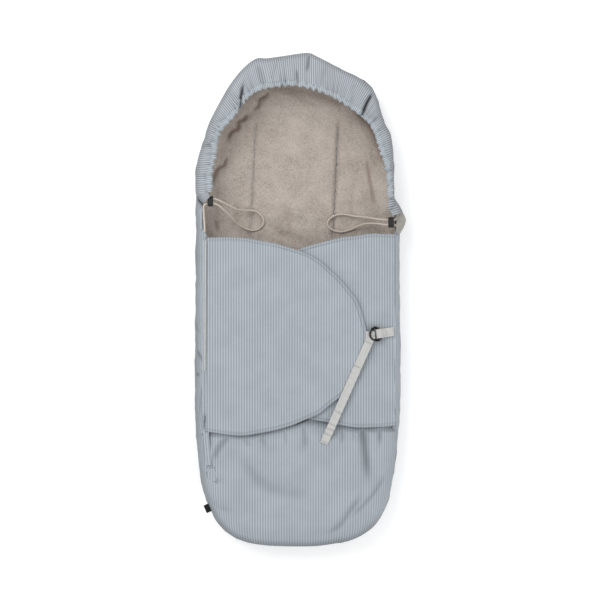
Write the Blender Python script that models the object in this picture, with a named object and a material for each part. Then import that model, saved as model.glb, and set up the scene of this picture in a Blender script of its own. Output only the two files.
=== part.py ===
"""Stroller footmuff, lying on its back with both front flaps closed.

Metres, +Z up. +Y runs towards the hood, +X to the right seen from above, and the back rests on z = 0.
"""

import math

import bmesh
import bpy
import numpy as np
from mathutils import Matrix

# Whole footmuff
HALF_LENGTH = 0.474
HALF_WIDTH = 0.198
SIDE_RADIUS = 0.045  # the quilt turns up round this radius, so its widest line is this high
FIT = 0.0003  # between pieces that touch
STEP_GAP = 0.0004  # between the two stations of a step in the wall's rim
STATION_SPACING = 0.036
NORMAL_REACH = 0.032  # how far along the outline the inward direction is averaged

# Quilt layers
SHELL = 0.0012
SIDE_WADDING = 0.006
BACK_WADDING = 0.012
SIDE_PILE = 0.0024
BACK_PILE = 0.004
COVER_WADDING = 0.0036
COVER_PILE = 0.0024

# Openings for the harness in the back
SLIT_WIDTH = 0.0052
FACING_WALL = 0.0008
SLIT_TOP_SHARE = 0.715
SLIT_FOOT_SHARE = 0.262
SLIT_LEFT_SHARE = -0.44
SLIT_RIGHT_SHARE = 0.366
CUT_OVERRUN = 0.005

# Side walls beside the flaps and the cord locks
LEFT_SEAM_SHARE = 0.87374  # of the half width, from the centre line to the left flap's seam
RIGHT_SEAM_SHARE = 0.92727
LEFT_LOCK_LINE_SHARE = 0.92929  # the left wall's rim beside the cord lock
LEFT_SEAM = LEFT_SEAM_SHARE * HALF_WIDTH
RIGHT_SEAM = RIGHT_SEAM_SHARE * HALF_WIDTH
LEFT_LOCK_LINE = LEFT_LOCK_LINE_SHARE * HALF_WIDTH
LEFT_SEAM_FOOT_SHARE = -0.54958  # of the half length, like the three ends below
RIGHT_SEAM_FOOT_SHARE = -0.52848
SEAM_HEAD_SHARE = 0.27004
LEFT_HOOD_END_SHARE = 0.39452
RIGHT_HOOD_END_SHARE = 0.39873
LEFT_SEAM_FOOT = LEFT_SEAM_FOOT_SHARE * HALF_LENGTH
RIGHT_SEAM_FOOT = RIGHT_SEAM_FOOT_SHARE * HALF_LENGTH
SEAM_HEAD = SEAM_HEAD_SHARE * HALF_LENGTH
LEFT_HOOD_END = LEFT_HOOD_END_SHARE * HALF_LENGTH
RIGHT_HOOD_END = RIGHT_HOOD_END_SHARE * HALF_LENGTH
RIGHT_LOCK_RIM = 0.056  # the right wall's rim beside the cord lock is spread open, so it is low

# Hood
HOOD_RIM_END = 0.084
HOOD_RIM_CROWN = 0.092
CHANNEL_RADIUS = 0.0039
CHANNEL_BORE = 0.00270
CORD_RADIUS = 0.0019
FOLD_HALF_WIDTH = 0.012
FOLD_DEPTH = 0.006
CHANNEL_FIRST_STATION_Y = 0.1935
CHANNEL_LAST_STATION_Y = 0.222

# Front flaps
LEFT_SEAM_TOP = 0.0883
LEFT_FLAP_CREST = 0.092
RIGHT_SEAM_TOP = 0.0756
RIGHT_FLAP_CREST = 0.0836
LEFT_RISE = 0.118
RIGHT_RISE = 0.0536

# Facing band inside the pouch's mouth
BAND = 0.0014
BAND_FOOT = 0.064
BAND_HEAD = 0.0885
BAND_REACH = 0.045

# Zip, its end patch and the side label, all lying on the left wall
ZIP_OUTER = 0.0150  # from the outline inwards
ZIP_INNER = 0.0220
ZIP_HEAD = 0.115
ZIP_FOOT = -0.319
TAPE = 0.0006
COIL_OUTER = 0.0170
COIL_INNER = 0.0200
COIL = 0.0010
PATCH_OUTER = 0.015
PATCH_INNER = 0.031
PATCH_HEAD = -0.321
PATCH_FOOT = -0.357
LABEL_OUTER = 0.0006
LABEL_INNER = 0.0100
LABEL_HEAD = -0.3885
LABEL_FOOT = -0.4025
LABEL = 0.0009
SLIDER_WIDTH = 0.0070
SLIDER_LENGTH = 0.0100
SLIDER_HEIGHT = 0.0026
SLIDER_Y = -0.2250
SLIDER_PLAY = 0.0009  # over the coil, because the seam bows a little along the slider's straight way
PULL_WIDTH = 0.0040
PULL_LENGTH = 0.0140
PULL = 0.0009

# Closing strap, its rings and their tab
WEBBING = 0.0014
STRAP_WIDTH = 0.0155
TAB_WIDTH = 0.0170
TAB_Y = -0.0640
TAB_END_INSET = 0.0066  # from the right seam
TAB_SEWN_INSET = 0.0206
RING_WIRE = 0.0014
RING_WIDTH = 0.0260
RING_REACH = 0.0152
RING_BAR_REACH = 0.0215  # from the left flap's edge to the lower ring's bar
RING_STAGGER = 0.0030
STRAP_GAP = 0.0004
STRAP_LOOP = 0.0130
STRAP_OVERLAP = 0.0095

# Cord locks
LOCK_SIZE = (0.0106, 0.0200, 0.0100)
LOCK_BEVEL = 0.0018
LOCK_HOLE = 0.0024
LOCK_HOLE_SPACING = 0.0092
LOCK_HOLE_LIFT = 0.0004
BUTTON_SIZE = (0.0066, 0.0026, 0.0062)
BUTTON_CAP = (0.0086, 0.0110, 0.0016)
BUTTON_TRAVEL = 0.0012
POCKET_FLOOR = 0.0012
SPRING_RADIUS = 0.0009
SPRING_WIRE = 0.00025
SPRING_TURNS = 4
LEFT_LOCK = (-0.1676, 0.1884, 0.0700)
RIGHT_LOCK = (0.1780, 0.1482, 0.0615)
CORD_SPACING = 0.0110

# The footmuff's outline seen from above, from the foot's tip round by the right side, in shares of
# the half width and the half length
RIGHT_SIDE_SHARES = (
    (0.01, -1.0), (0.184, -0.998), (0.359, -0.988), (0.504, -0.976), (0.64, -0.949),
    (0.746, -0.913), (0.824, -0.864), (0.877, -0.807), (0.911, -0.739), (0.94, -0.658),
    (0.964, -0.568), (0.984, -0.467), (0.998, -0.325), (0.993, -0.123), (0.984, 0.08),
    (0.984, 0.222), (0.988, 0.299), (0.955, 0.368),
)
HOOD_OUTLINE_SHARES = (
    (0.935, 0.42), (0.93, 0.493), (0.928, 0.566), (0.921, 0.615), (0.896, 0.672),
    (0.843, 0.716), (0.804, 0.765), (0.751, 0.834), (0.688, 0.87), (0.572, 0.905),
    (0.446, 0.929), (0.31, 0.959), (0.194, 0.984), (0.107, 1.0), (-0.01, 0.996),
    (-0.165, 0.986), (-0.31, 0.978), (-0.417, 0.975), (-0.543, 0.933), (-0.659, 0.872),
    (-0.736, 0.818), (-0.799, 0.769), (-0.867, 0.712), (-0.906, 0.656), (-0.964, 0.583),
    (-0.992, 0.518), (-0.994, 0.435),
)
LEFT_SIDE_SHARES = (
    (-0.995, 0.38), (-0.995, 0.161), (-0.998, -0.082), (-1.0, -0.325), (-0.993, -0.508),
    (-0.976, -0.609), (-0.95, -0.71), (-0.911, -0.783), (-0.853, -0.848), (-0.766, -0.909),
    (-0.649, -0.955), (-0.504, -0.982), (-0.329, -0.995), (-0.155, -0.999),
)
# The hood's face opening, one point for each point of the hood's outline
HOOD_RIM_SHARES = (
    (0.862, 0.42), (0.862, 0.469), (0.838, 0.542), (0.795, 0.591), (0.761, 0.639),
    (0.727, 0.678), (0.678, 0.712), (0.601, 0.741), (0.533, 0.763), (0.455, 0.785),
    (0.378, 0.805), (0.3, 0.822), (0.203, 0.839), (0.107, 0.85), (0.0, 0.86),
    (-0.126, 0.861), (-0.242, 0.855), (-0.349, 0.846), (-0.441, 0.826), (-0.523, 0.793),
    (-0.601, 0.745), (-0.669, 0.712), (-0.746, 0.676), (-0.775, 0.635), (-0.79, 0.583),
    (-0.826, 0.518), (-0.83, 0.44),
)
HOOD_RIGHT_END_SHARES = ((0.937, 0.405), (0.862, 0.405))
HOOD_LEFT_END_SHARES = ((-0.994, 0.402), (-0.827, 0.402))
# Main folds of the hood: place along the rim counted in its points, and depth
HOOD_FOLD_SHARES = ((8.3, 1.0), (11.5, 0.6), (14.0, 0.9), (16.4, 0.6), (18.0, 0.8), (20.0, 1.0), (22.5, 0.6))
# Flap columns: x in shares of the half width, top and bottom edges in shares of the half length
LEFT_FLAP_SHARES = (
    (-0.8724, 0.250, -0.531), (-0.678, 0.252, -0.544), (-0.523, 0.249, -0.547), (-0.368, 0.238, -0.537),
    (-0.213, 0.226, -0.524), (-0.058, 0.207, -0.505), (0.068, 0.190, -0.483), (0.194, 0.162, -0.461),
    (0.32, 0.117, -0.419), (0.436, 0.069, -0.382), (0.514, 0.029, -0.345), (0.572, -0.005, -0.307),
    (0.62, -0.062, -0.265), (0.659, -0.123, -0.183),
)
RIGHT_FLAP_SHARES = (
    (0.9255, 0.265, -0.507), (0.82, 0.266, -0.5135), (0.707, 0.267, -0.515), (0.552, 0.258, -0.515),
    (0.402, 0.25, -0.505), (0.247, 0.233, -0.492), (0.126, 0.22, -0.482), (0.0, 0.202, -0.463),
    (-0.078, 0.178, -0.445), (-0.126, 0.153, -0.426), (-0.174, 0.105, -0.382), (-0.204, 0.06, -0.345),
    (-0.233, -0.082, -0.203),
)
# The pouch's mouth, from its right end to its left
MOUTH_SHARES = (
    (0.707, -0.5275), (0.552, -0.5275), (0.407, -0.518), (0.242, -0.505), (0.126, -0.494), (-0.058, -0.5135),
    (-0.213, -0.5295), (-0.368, -0.5425), (-0.523, -0.553), (-0.678, -0.5505),
)
# The strap's free end on the left flap
STRAP_TAIL_SHARES = ((0.664, -0.158), (0.247, -0.588))
LEFT_FLAP_EDGE = LEFT_FLAP_SHARES[-1][0] * HALF_WIDTH
LOWER_RING_BAR = LEFT_FLAP_EDGE + RING_BAR_REACH

# Routes of the two cords' free stretches, point by point
LEFT_CORD_ROUTE = (
    (-0.1684, 0.2254, 0.0814), (-0.1687, 0.2212, 0.0801), (-0.1688, 0.2166, 0.0776), (-0.1706, 0.2115, 0.0749),
    (-0.1750, 0.2088, 0.0730), (-0.1794, 0.2061, 0.0715), (-0.1813, 0.2010, 0.0706), (-0.1794, 0.1959, 0.0704),
    (-0.1760, 0.1935, 0.0704), (-0.1729, 0.1930, 0.0704), (-0.1680, 0.1930, 0.0704), (-0.1623, 0.1930, 0.0704),
    (-0.1560, 0.1922, 0.0697), (-0.1461, 0.1875, 0.0650), (-0.1338, 0.1813, 0.0560), (-0.1240, 0.1765, 0.0480),
    (-0.1142, 0.1735, 0.0400), (-0.1033, 0.1725, 0.0320), (-0.0910, 0.1725, 0.0255), (-0.0812, 0.1705, 0.0228),
    (-0.0726, 0.1643, 0.0216), (-0.0676, 0.1568, 0.0212), (-0.0670, 0.1490, 0.0210), (-0.0703, 0.1418, 0.0210),
    (-0.0776, 0.1360, 0.0212), (-0.0862, 0.1340, 0.0218), (-0.0972, 0.1355, 0.0240), (-0.1069, 0.1397, 0.0280),
    (-0.1167, 0.1464, 0.0350), (-0.1240, 0.1537, 0.0425), (-0.1315, 0.1618, 0.0505), (-0.1388, 0.1691, 0.0580),
    (-0.1461, 0.1757, 0.0640), (-0.1548, 0.1820, 0.0690), (-0.1623, 0.1838, 0.0704), (-0.1680, 0.1838, 0.0704),
    (-0.1729, 0.1838, 0.0704), (-0.1767, 0.1828, 0.0704), (-0.1795, 0.1800, 0.0705), (-0.1805, 0.1762, 0.0708),
    (-0.1803, 0.1700, 0.0718), (-0.1797, 0.1600, 0.0735), (-0.1790, 0.1500, 0.0752), (-0.1784, 0.1400, 0.0764),
    (-0.1782, 0.1285, 0.0768),
)
RIGHT_CORD_ROUTE = (
    (0.1746, 0.1940, 0.0805), (0.1747, 0.1890, 0.0801), (0.1757, 0.1838, 0.0785), (0.1783, 0.1790, 0.0762),
    (0.1822, 0.1745, 0.0733), (0.1861, 0.1700, 0.0703), (0.1893, 0.1653, 0.0674), (0.1907, 0.1606, 0.0650),
    (0.1898, 0.1567, 0.0632), (0.1870, 0.1539, 0.0622), (0.1833, 0.1528, 0.0619), (0.1780, 0.1528, 0.0619),
    (0.1727, 0.1528, 0.0619), (0.1680, 0.1531, 0.0607), (0.1610, 0.1538, 0.0565), (0.1511, 0.1550, 0.0500),
    (0.1375, 0.1575, 0.0405), (0.1240, 0.1595, 0.0325), (0.1106, 0.1608, 0.0270), (0.0985, 0.1633, 0.0240),
    (0.0877, 0.1648, 0.0230), (0.0770, 0.1643, 0.0228), (0.0662, 0.1602, 0.0224), (0.0595, 0.1541, 0.0216),
    (0.0570, 0.1474, 0.0212), (0.0595, 0.1406, 0.0210), (0.0676, 0.1345, 0.0210), (0.0770, 0.1315, 0.0210),
    (0.0877, 0.1315, 0.0212), (0.0985, 0.1341, 0.0222), (0.1092, 0.1385, 0.0250), (0.1200, 0.1432, 0.0300),
    (0.1294, 0.1460, 0.0355), (0.1404, 0.1468, 0.0425), (0.1524, 0.1460, 0.0510), (0.1620, 0.1444, 0.0575),
    (0.1675, 0.1437, 0.0607), (0.1727, 0.1436, 0.0619), (0.1780, 0.1436, 0.0619), (0.1833, 0.1436, 0.0619),
    (0.1871, 0.1426, 0.0619), (0.1899, 0.1398, 0.0619), (0.1909, 0.1360, 0.0619), (0.1899, 0.1285, 0.0619),
)

# Counts and turns
OUTLINE_SPANS = 12
OUTLINE_SAMPLES = 720
LOWER_RING_SHARES = (0.0, 0.5, 1.0)
UPPER_RING_SHARES = (0.55, 1.0)
COVER_RING_SHARES = (0.0, 0.36, 0.7, 1.0)
HOOD_RING_SHARES = (0.0, 0.3, 0.6, 0.85, 1.0)
FLAP_ROW_SHARES = (0.0, 0.33, 0.67, 1.0)
TUBE_SIDES = 6
HOOD_STEPS = 1

FINISHES = {
    "striped_cotton": ((0.405, 0.447, 0.489), 0.85, 0.0),
    "pile": ((0.434, 0.395, 0.356), 0.95, 0.0),
    "wadding": ((0.75, 0.75, 0.73), 0.95, 0.0),
    "webbing": ((0.53, 0.53, 0.54), 0.8, 0.0),
    "cord": ((0.52, 0.47, 0.42), 0.8, 0.0),
    "black_plastic": ((0.012, 0.012, 0.013), 0.4, 0.0),
    "ring_steel": ((0.12, 0.115, 0.11), 0.3, 1.0),
    "black_label": ((0.012, 0.012, 0.014), 0.6, 0.0),
}


def clear_scene():
    for obj in list(bpy.data.objects):
        bpy.data.objects.remove(obj, do_unlink=True)


def finish(name):
    """The material of this name, made the first time it is asked for."""
    material = bpy.data.materials.get(name)
    if material is None:
        colour, roughness, metallic = FINISHES[name]
        material = bpy.data.materials.new(name)
        material.use_nodes = True
        shader = material.node_tree.nodes["Principled BSDF"]
        shader.inputs["Base Color"].default_value = (*colour, 1.0)
        shader.inputs["Roughness"].default_value = roughness
        shader.inputs["Metallic"].default_value = metallic
        material.diffuse_color = (*colour, 1.0)
    return material


def add_mesh(name, points, faces, material=None, smooth=True):
    """A closed mesh object whose faces are turned to point outwards. Without a material it is a cutter."""
    mesh = bpy.data.meshes.new(name)
    mesh.from_pydata([tuple(p) for p in points], [], faces)
    work = bmesh.new()
    work.from_mesh(mesh)
    bmesh.ops.recalc_face_normals(work, faces=work.faces)
    work.to_mesh(mesh)
    work.free()
    if smooth:
        mesh.shade_smooth()
        mesh.set_sharp_from_angle(angle=math.radians(40))
    obj = bpy.data.objects.new(name, mesh)
    bpy.context.collection.objects.link(obj)
    if material:
        mesh.materials.append(finish(material))
    else:
        obj.hide_render = True
        obj.display_type = "WIRE"
    return obj


def combine(obj, other, operation):
    """Joins the other object to this one, or cuts it out."""
    modifier = obj.modifiers.new(other.name, "BOOLEAN")
    modifier.operation = operation
    modifier.object = other
    modifier.solver = "EXACT"


def carry(objects, name, pivot):
    """Hangs objects on an empty that stands on their joint's axis."""
    empty = bpy.data.objects.new(name, None)
    empty.location = pivot
    bpy.context.collection.objects.link(empty)
    for obj in objects:
        obj.data.transform(Matrix.Translation([-c for c in pivot]))
        obj.parent = empty
    return empty


def strip(first, second):
    """Quads between two equally long rows of point numbers."""
    return [
        (first[i], first[i + 1], second[i + 1], second[i])
        for i in range(len(first) - 1)
    ]


def grid_faces(index, wrap):
    if wrap:
        index = np.hstack([index, index[:, :1]])
    rows = index.tolist()
    return [face for a, b in zip(rows, rows[1:]) for face in strip(a, b)]


def slab(name, outer, inner, material, wrap=False, floor=False):
    """A solid between two grids of points, rows by columns. wrap joins the last column to the first,
    and floor closes the first row of each grid with one flat face."""
    rows, columns = outer.shape[:2]
    points = np.concatenate([outer.reshape(-1, 3), inner.reshape(-1, 3)])
    a = np.arange(rows * columns).reshape(rows, columns)
    b = a + rows * columns
    faces = grid_faces(a, wrap) + grid_faces(b, wrap)
    close = (lambda row: row.tolist() + [int(row[0])]) if wrap else (lambda row: row.tolist())
    faces += strip(close(a[-1]), close(b[-1]))
    if floor:
        faces += [tuple(a[0].tolist()), tuple(b[0].tolist())]
    else:
        faces += strip(close(a[0]), close(b[0]))
    if not wrap:
        faces += strip(a[:, 0].tolist(), b[:, 0].tolist())
        faces += strip(a[:, -1].tolist(), b[:, -1].tolist())
    return add_mesh(name, points, faces, material)


def prism(name, outline, low, high, material=None):
    """An outline of (x, y) points, extruded from z = low to z = high."""
    count = len(outline)
    points = [(x, y, z) for z in (low, high) for x, y in outline]
    faces = [tuple(range(count)), tuple(range(count, 2 * count))]
    faces += [(i, (i + 1) % count, (i + 1) % count + count, i + count) for i in range(count)]
    return add_mesh(name, points, faces, material, smooth=False)


def block(name, centre, size, material=None):
    x, y, z = centre
    dx, dy, dz = (side / 2 for side in size)
    corners = [(x - dx, y - dy), (x + dx, y - dy), (x + dx, y + dy), (x - dx, y + dy)]
    return prism(name, corners, z - dz, z + dz, material)


def across_y(obj, middle):
    """Turns a prism drawn in x and z, so that its depth lies along y about the middle."""
    turn = Matrix(((1, 0, 0, 0), (0, 0, -1, middle), (0, 1, 0, 0), (0, 0, 0, 1)))
    obj.data.transform(turn)
    return obj


def spline(points, spans, closed=False):
    """A smooth curve through the points, with this many pieces between two neighbours."""
    points = np.asarray(points, float)
    if closed:
        padded = np.vstack([points[-1], points, points[:2]])
    else:
        padded = np.vstack([2 * points[0] - points[1], points, 2 * points[-1] - points[-2]])
    found = []
    for before, start, end, after in zip(padded, padded[1:], padded[2:], padded[3:]):
        t = np.linspace(0, 1, spans, endpoint=False)[:, None]
        found.append(
            start
            + t * (end - before) / 2
            + t**2 * (before - 2.5 * start + 2 * end - after / 2)
            + t**3 * (1.5 * (start - end) + (after - before) / 2)
        )
    if not closed:
        found.append(padded[-2][None])
    return np.concatenate(found)


def scaled(shares):
    return np.asarray(shares) * (HALF_WIDTH, HALF_LENGTH)


class Outline:
    """The footmuff's edge seen from above, with its inward direction, read by the distance along it."""

    def __init__(self):
        shares = RIGHT_SIDE_SHARES + HOOD_OUTLINE_SHARES + LEFT_SIDE_SHARES
        curve = spline(scaled(shares), OUTLINE_SPANS, closed=True)
        low, high = curve.min(axis=0), curve.max(axis=0)
        size = 2 * np.array([HALF_WIDTH, HALF_LENGTH])
        curve = (curve - (low + high) / 2) * size / (high - low)
        curve = np.vstack([curve, curve[:1]])
        along = np.concatenate([[0], np.cumsum(np.linalg.norm(np.diff(curve, axis=0), axis=1))])
        self.length = along[-1]
        self.along = np.linspace(0, self.length, OUTLINE_SAMPLES, endpoint=False)
        self.points = np.stack([np.interp(self.along, along, curve[:, k]) for k in (0, 1)], axis=1)
        reach = round(NORMAL_REACH * OUTLINE_SAMPLES / self.length)
        tangent = np.roll(self.points, -reach, axis=0) - np.roll(self.points, reach, axis=0)
        inward = np.stack([-tangent[:, 1], tangent[:, 0]], axis=1)
        self.inward = inward / np.linalg.norm(inward, axis=1)[:, None]

    def at(self, along):
        """Points and inward directions at these distances."""
        found = [
            np.stack([np.interp(along, self.along, table[:, k], period=self.length) for k in (0, 1)], axis=1)
            for table in (self.points, self.inward)
        ]
        return found[0], found[1] / np.linalg.norm(found[1], axis=1)[:, None]

    def distance_at(self, side, y):
        """The distance along the outline at which it passes height y on its left (-1) or right (1) side."""
        ours = self.points[:, 0] * side > 0
        order = np.argsort(self.points[ours, 1])
        return float(np.interp(y, self.points[ours, 1][order], self.along[ours][order]))


class Walls:
    """Stations round the outline, and where the wall's rim lies at each of them."""

    def __init__(self, outline):
        left = lambda y: outline.distance_at(-1, y)
        right = lambda y: outline.distance_at(1, y)
        half = STEP_GAP / 2
        regions = (
            (0.0, right(RIGHT_SEAM_FOOT), "height", SIDE_RADIUS),
            (right(RIGHT_SEAM_FOOT), right(SEAM_HEAD), "line", RIGHT_SEAM),
            (right(SEAM_HEAD), right(RIGHT_HOOD_END), "height", RIGHT_LOCK_RIM),
            (right(RIGHT_HOOD_END), left(LEFT_HOOD_END), "height", SIDE_RADIUS),
            (left(LEFT_HOOD_END), left(SEAM_HEAD), "line", LEFT_LOCK_LINE),
            (left(SEAM_HEAD), left(LEFT_SEAM_FOOT), "line", LEFT_SEAM),
            (left(LEFT_SEAM_FOOT), outline.length, "height", SIDE_RADIUS),
        )
        along, kinds, values = [], [], []
        for start, end, kind, value in regions:
            start, end = start + half, end - half
            count = max(2, math.ceil((end - start) / STATION_SPACING) + 1)
            along += list(np.linspace(start, end, count))
            kinds += [kind] * count
            values += [value] * count
        self.points, self.inward = outline.at(np.array(along))
        self.on_line = np.array(kinds) == "line"
        self.values = np.array(values)

    def top_angle(self, depth):
        """How far round the side radius the wall reaches, for a surface this deep in the quilt."""
        radius = SIDE_RADIUS - depth
        inset = (np.abs(self.points[:, 0]) - self.values) / np.abs(self.inward[:, 0]).clip(0.5)
        by_line = np.arccos(((SIDE_RADIUS - inset) / radius).clip(-1, 1))
        by_height = np.arcsin(((self.values - SIDE_RADIUS) / radius).clip(-1, 1))
        return np.where(self.on_line, by_line, by_height)

    def surface(self, side_depth, floor_depth):
        """Rings of points from the flat back up to the wall's rim."""
        radius = SIDE_RADIUS - side_depth
        rings = []
        for share in LOWER_RING_SHARES:
            angle = (1 - share) * math.pi / 2
            inset = np.full(len(self.points), SIDE_RADIUS - radius * math.cos(angle))
            z = SIDE_RADIUS - (SIDE_RADIUS - floor_depth) * math.sin(angle)
            rings.append(raised(self.points + self.inward * inset[:, None], z))
        for share in UPPER_RING_SHARES:
            angle = share * self.top_angle(side_depth)
            # A wall that ends at its widest line keeps a sliver of height, so that no face is flat
            angle = np.maximum(angle, share * STEP_GAP / SIDE_RADIUS)
            inset = SIDE_RADIUS - radius * np.cos(angle)
            rings.append(raised(self.points + self.inward * inset[:, None], SIDE_RADIUS + radius * np.sin(angle)))
        return np.array(rings)


def raised(flat, z):
    """Flat points with a height, one for all or one each."""
    return np.column_stack([flat, np.broadcast_to(z, len(flat))])


def layer_depths(*thicknesses):
    """(outer, inner) depth of each layer, with the gap between neighbours."""
    depths, start = [], 0.0
    for thickness in thicknesses:
        depths.append((start, start + thickness))
        start += thickness + FIT
    return depths


def build_back(outline):
    """The quilted back and side walls, in three layers, with the harness openings cut through them."""
    walls = Walls(outline)
    sides = layer_depths(SHELL, SIDE_WADDING, SIDE_PILE)
    floors = layer_depths(SHELL, BACK_WADDING, BACK_PILE)
    names = (("back_shell", "striped_cotton"), ("back_padding", "wadding"), ("back_lining", "pile"))
    layers = []
    for (name, material), side, floor in zip(names, sides, floors):
        outer, inner = (walls.surface(s, f) for s, f in zip(side, floor))
        layers.append(slab(name, outer, inner, material, wrap=True, floor=True))
    for name, share in (("left", SLIT_LEFT_SHARE), ("right", SLIT_RIGHT_SHARE)):
        build_slit(name, share * HALF_WIDTH, layers, floors[-1][1])


def build_slit(name, x, layers, floor):
    """A harness opening through the back, faced with a woven sleeve."""
    foot, head = SLIT_FOOT_SHARE * HALF_LENGTH, SLIT_TOP_SHARE * HALF_LENGTH
    inner = (SLIT_WIDTH / 2, (head - foot) / 2)
    outer = tuple(side + FACING_WALL for side in inner)
    middle = (x, (foot + head) / 2)
    cut = [2 * (side + FIT) for side in outer]
    size = (*cut, floor + 2 * CUT_OVERRUN)
    cutter = block(f"slit_cutter_{name}", (*middle, floor / 2), size)
    for layer in layers:
        combine(layer, cutter, "DIFFERENCE")
    loops = [
        [(x + sx * w, middle[1] + sy * h) for sx, sy in ((-1, -1), (1, -1), (1, 1), (-1, 1))]
        for w, h in (outer, inner)
    ]
    heights = (FIT, floor + FIT)
    grids = [np.array([[(px, py, z) for px, py in loop] for z in heights]) for loop in loops]
    slab(f"slit_facing_{name}", *grids, "webbing", wrap=True)


class Hood:
    """The gathered hood, standing on the wall's rim and turning in to the face opening."""

    def __init__(self):
        outer = (HOOD_RIGHT_END_SHARES[0], *HOOD_OUTLINE_SHARES, HOOD_LEFT_END_SHARES[0])
        rim = (HOOD_RIGHT_END_SHARES[1], *HOOD_RIM_SHARES, HOOD_LEFT_END_SHARES[1])
        fine = 20
        curves = [spline(scaled(shares), fine) for shares in (outer, rim)]
        count = len(outer) - 1
        places = list(np.arange(0, count + 1 / HOOD_STEPS, 1 / HOOD_STEPS).clip(0, count))
        for place, _ in HOOD_FOLD_SHARES:
            places += [place - 0.25, place, place + 0.25]
        places = np.unique(np.round(places, 2))
        keep = np.concatenate([[True], np.diff(places) > 0.15])
        self.places = places[keep]
        table = np.linspace(0, count, len(curves[0]))
        self.foot, self.rim = (
            np.stack([np.interp(self.places, table, curve[:, k]) for k in (0, 1)], axis=1) for curve in curves
        )
        across = self.rim - self.foot
        self.width = np.linalg.norm(across, axis=1)
        self.across = across / self.width[:, None]
        crown = np.sin(np.pi * self.places / count)
        self.rim_z = HOOD_RIM_END + (HOOD_RIM_CROWN - HOOD_RIM_END) * crown
        rim_step = np.concatenate([[0], np.cumsum(np.linalg.norm(np.diff(self.rim, axis=0), axis=1))])
        self.folds = np.zeros(len(self.places))
        for place, depth in HOOD_FOLD_SHARES:
            centre = np.interp(place, self.places, rim_step)
            self.folds += depth * FOLD_DEPTH * np.exp(-(((rim_step - centre) / FOLD_HALF_WIDTH) ** 2))

    def surface(self, depth):
        """Rings of points from the wall's rim up to the drawcord's channel."""
        foot_z = SIDE_RADIUS + FIT + STEP_GAP
        cut = 2 * CHANNEL_RADIUS + FIT
        rings = []
        for share in HOOD_RING_SHARES:
            width = self.width - depth - self.folds * share**2
            angle = share * np.arccos(cut / (self.width - depth))
            end = np.arccos((cut / width).clip(-1, 1))
            angle = np.where(share == 1.0, end, angle)
            inset = self.width - width * np.cos(angle)
            z = foot_z + (self.rim_z - foot_z - depth - self.folds * share**2) * np.sin(angle)
            rings.append(raised(self.foot + self.across * inset[:, None], z))
        return np.array(rings)

    def channel_path(self):
        """The middle of the drawcord's channel, and its inward directions."""
        y = self.foot[:, 1]
        right, left = self.foot[:, 0] > 0, self.foot[:, 0] < 0
        kept = (right & (y > CHANNEL_FIRST_STATION_Y)) | (left & (self.rim[:, 1] > CHANNEL_LAST_STATION_Y))
        centre = self.rim - self.across * CHANNEL_RADIUS
        path = raised(centre, self.rim_z - CHANNEL_RADIUS)
        return path[kept], self.across[kept]


def build_hood():
    hood = Hood()
    depths = layer_depths(SHELL, COVER_PILE)
    names = (("hood_shell", "striped_cotton"), ("hood_lining", "pile"))
    for (name, material), (outer, inner) in zip(names, depths):
        slab(name, hood.surface(outer), hood.surface(inner), material)
    path, across = hood.channel_path()
    turn = np.arange(TUBE_SIDES) * 2 * math.pi / TUBE_SIDES
    sides = across[:, None, :] * np.cos(turn)[None, :, None]
    ring = np.concatenate([sides, np.broadcast_to(np.sin(turn)[None, :, None], (len(path), TUBE_SIDES, 1))], axis=2)
    outer, inner = (path[:, None, :] + ring * radius for radius in (CHANNEL_RADIUS, CHANNEL_BORE))
    slab("hood_channel", outer, inner, "striped_cotton", wrap=True)
    add_cord("drawcord", path)


def add_cord(name, path):
    """A round cord along a path, with closed ends."""
    curve = bpy.data.curves.new(name, "CURVE")
    curve.dimensions = "3D"
    curve.bevel_depth = CORD_RADIUS
    curve.bevel_resolution = 2
    curve.use_fill_caps = True
    line = curve.splines.new("POLY")
    line.points.add(len(path) - 1)
    for point, place in zip(line.points, path):
        point.co = (*place, 1.0)
    curve.materials.append(finish("cord"))
    obj = bpy.data.objects.new(name, curve)
    bpy.context.collection.objects.link(obj)
    return obj


def cord_points(route):
    """Points along a smooth curve through the route, with every point of the route among them."""
    fine = 16
    curve = spline(route, fine)
    points = [curve[0]]
    for start in range(0, len(curve) - 1, fine):
        piece = curve[start : start + fine + 1]
        length = np.linalg.norm(np.diff(piece, axis=0), axis=1).sum()
        steps = max(1, math.ceil(length / CORD_SPACING))
        picks = np.round(np.linspace(0, fine, steps + 1)[1:]).astype(int)
        points += [piece[k] for k in picks]
    return np.array(points)


def build_cords():
    for name, route in (("cord_left", LEFT_CORD_ROUTE), ("cord_right", RIGHT_CORD_ROUTE)):
        add_cord(name, cord_points(route))


class Pouch:
    """The foot pouch: the back's side turned on over the feet, and a flat crown up to the mouth."""

    def __init__(self, outline):
        start = outline.distance_at(-1, LEFT_SEAM_FOOT) + STEP_GAP / 2
        end = outline.length + outline.distance_at(1, RIGHT_SEAM_FOOT) - STEP_GAP / 2
        count = math.ceil((end - start) / STATION_SPACING) + 1
        self.points, self.inward = outline.at(np.linspace(start, end, count) % outline.length)
        self.mouth = scaled(MOUTH_SHARES)

    def surface(self, depth):
        """Rings from the wall's rim up to the crown, and the mouth's points at the crown's height."""
        radius = SIDE_RADIUS - depth
        foot_z = SIDE_RADIUS + FIT + STEP_GAP
        rings = []
        for share in COVER_RING_SHARES:
            angle = share * math.pi / 2
            inset = SIDE_RADIUS - radius * math.cos(angle)
            z = foot_z + radius * math.sin(angle)
            rings.append(raised(self.points + self.inward * inset, z))
        return np.array(rings), raised(self.mouth, foot_z + radius)


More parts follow.
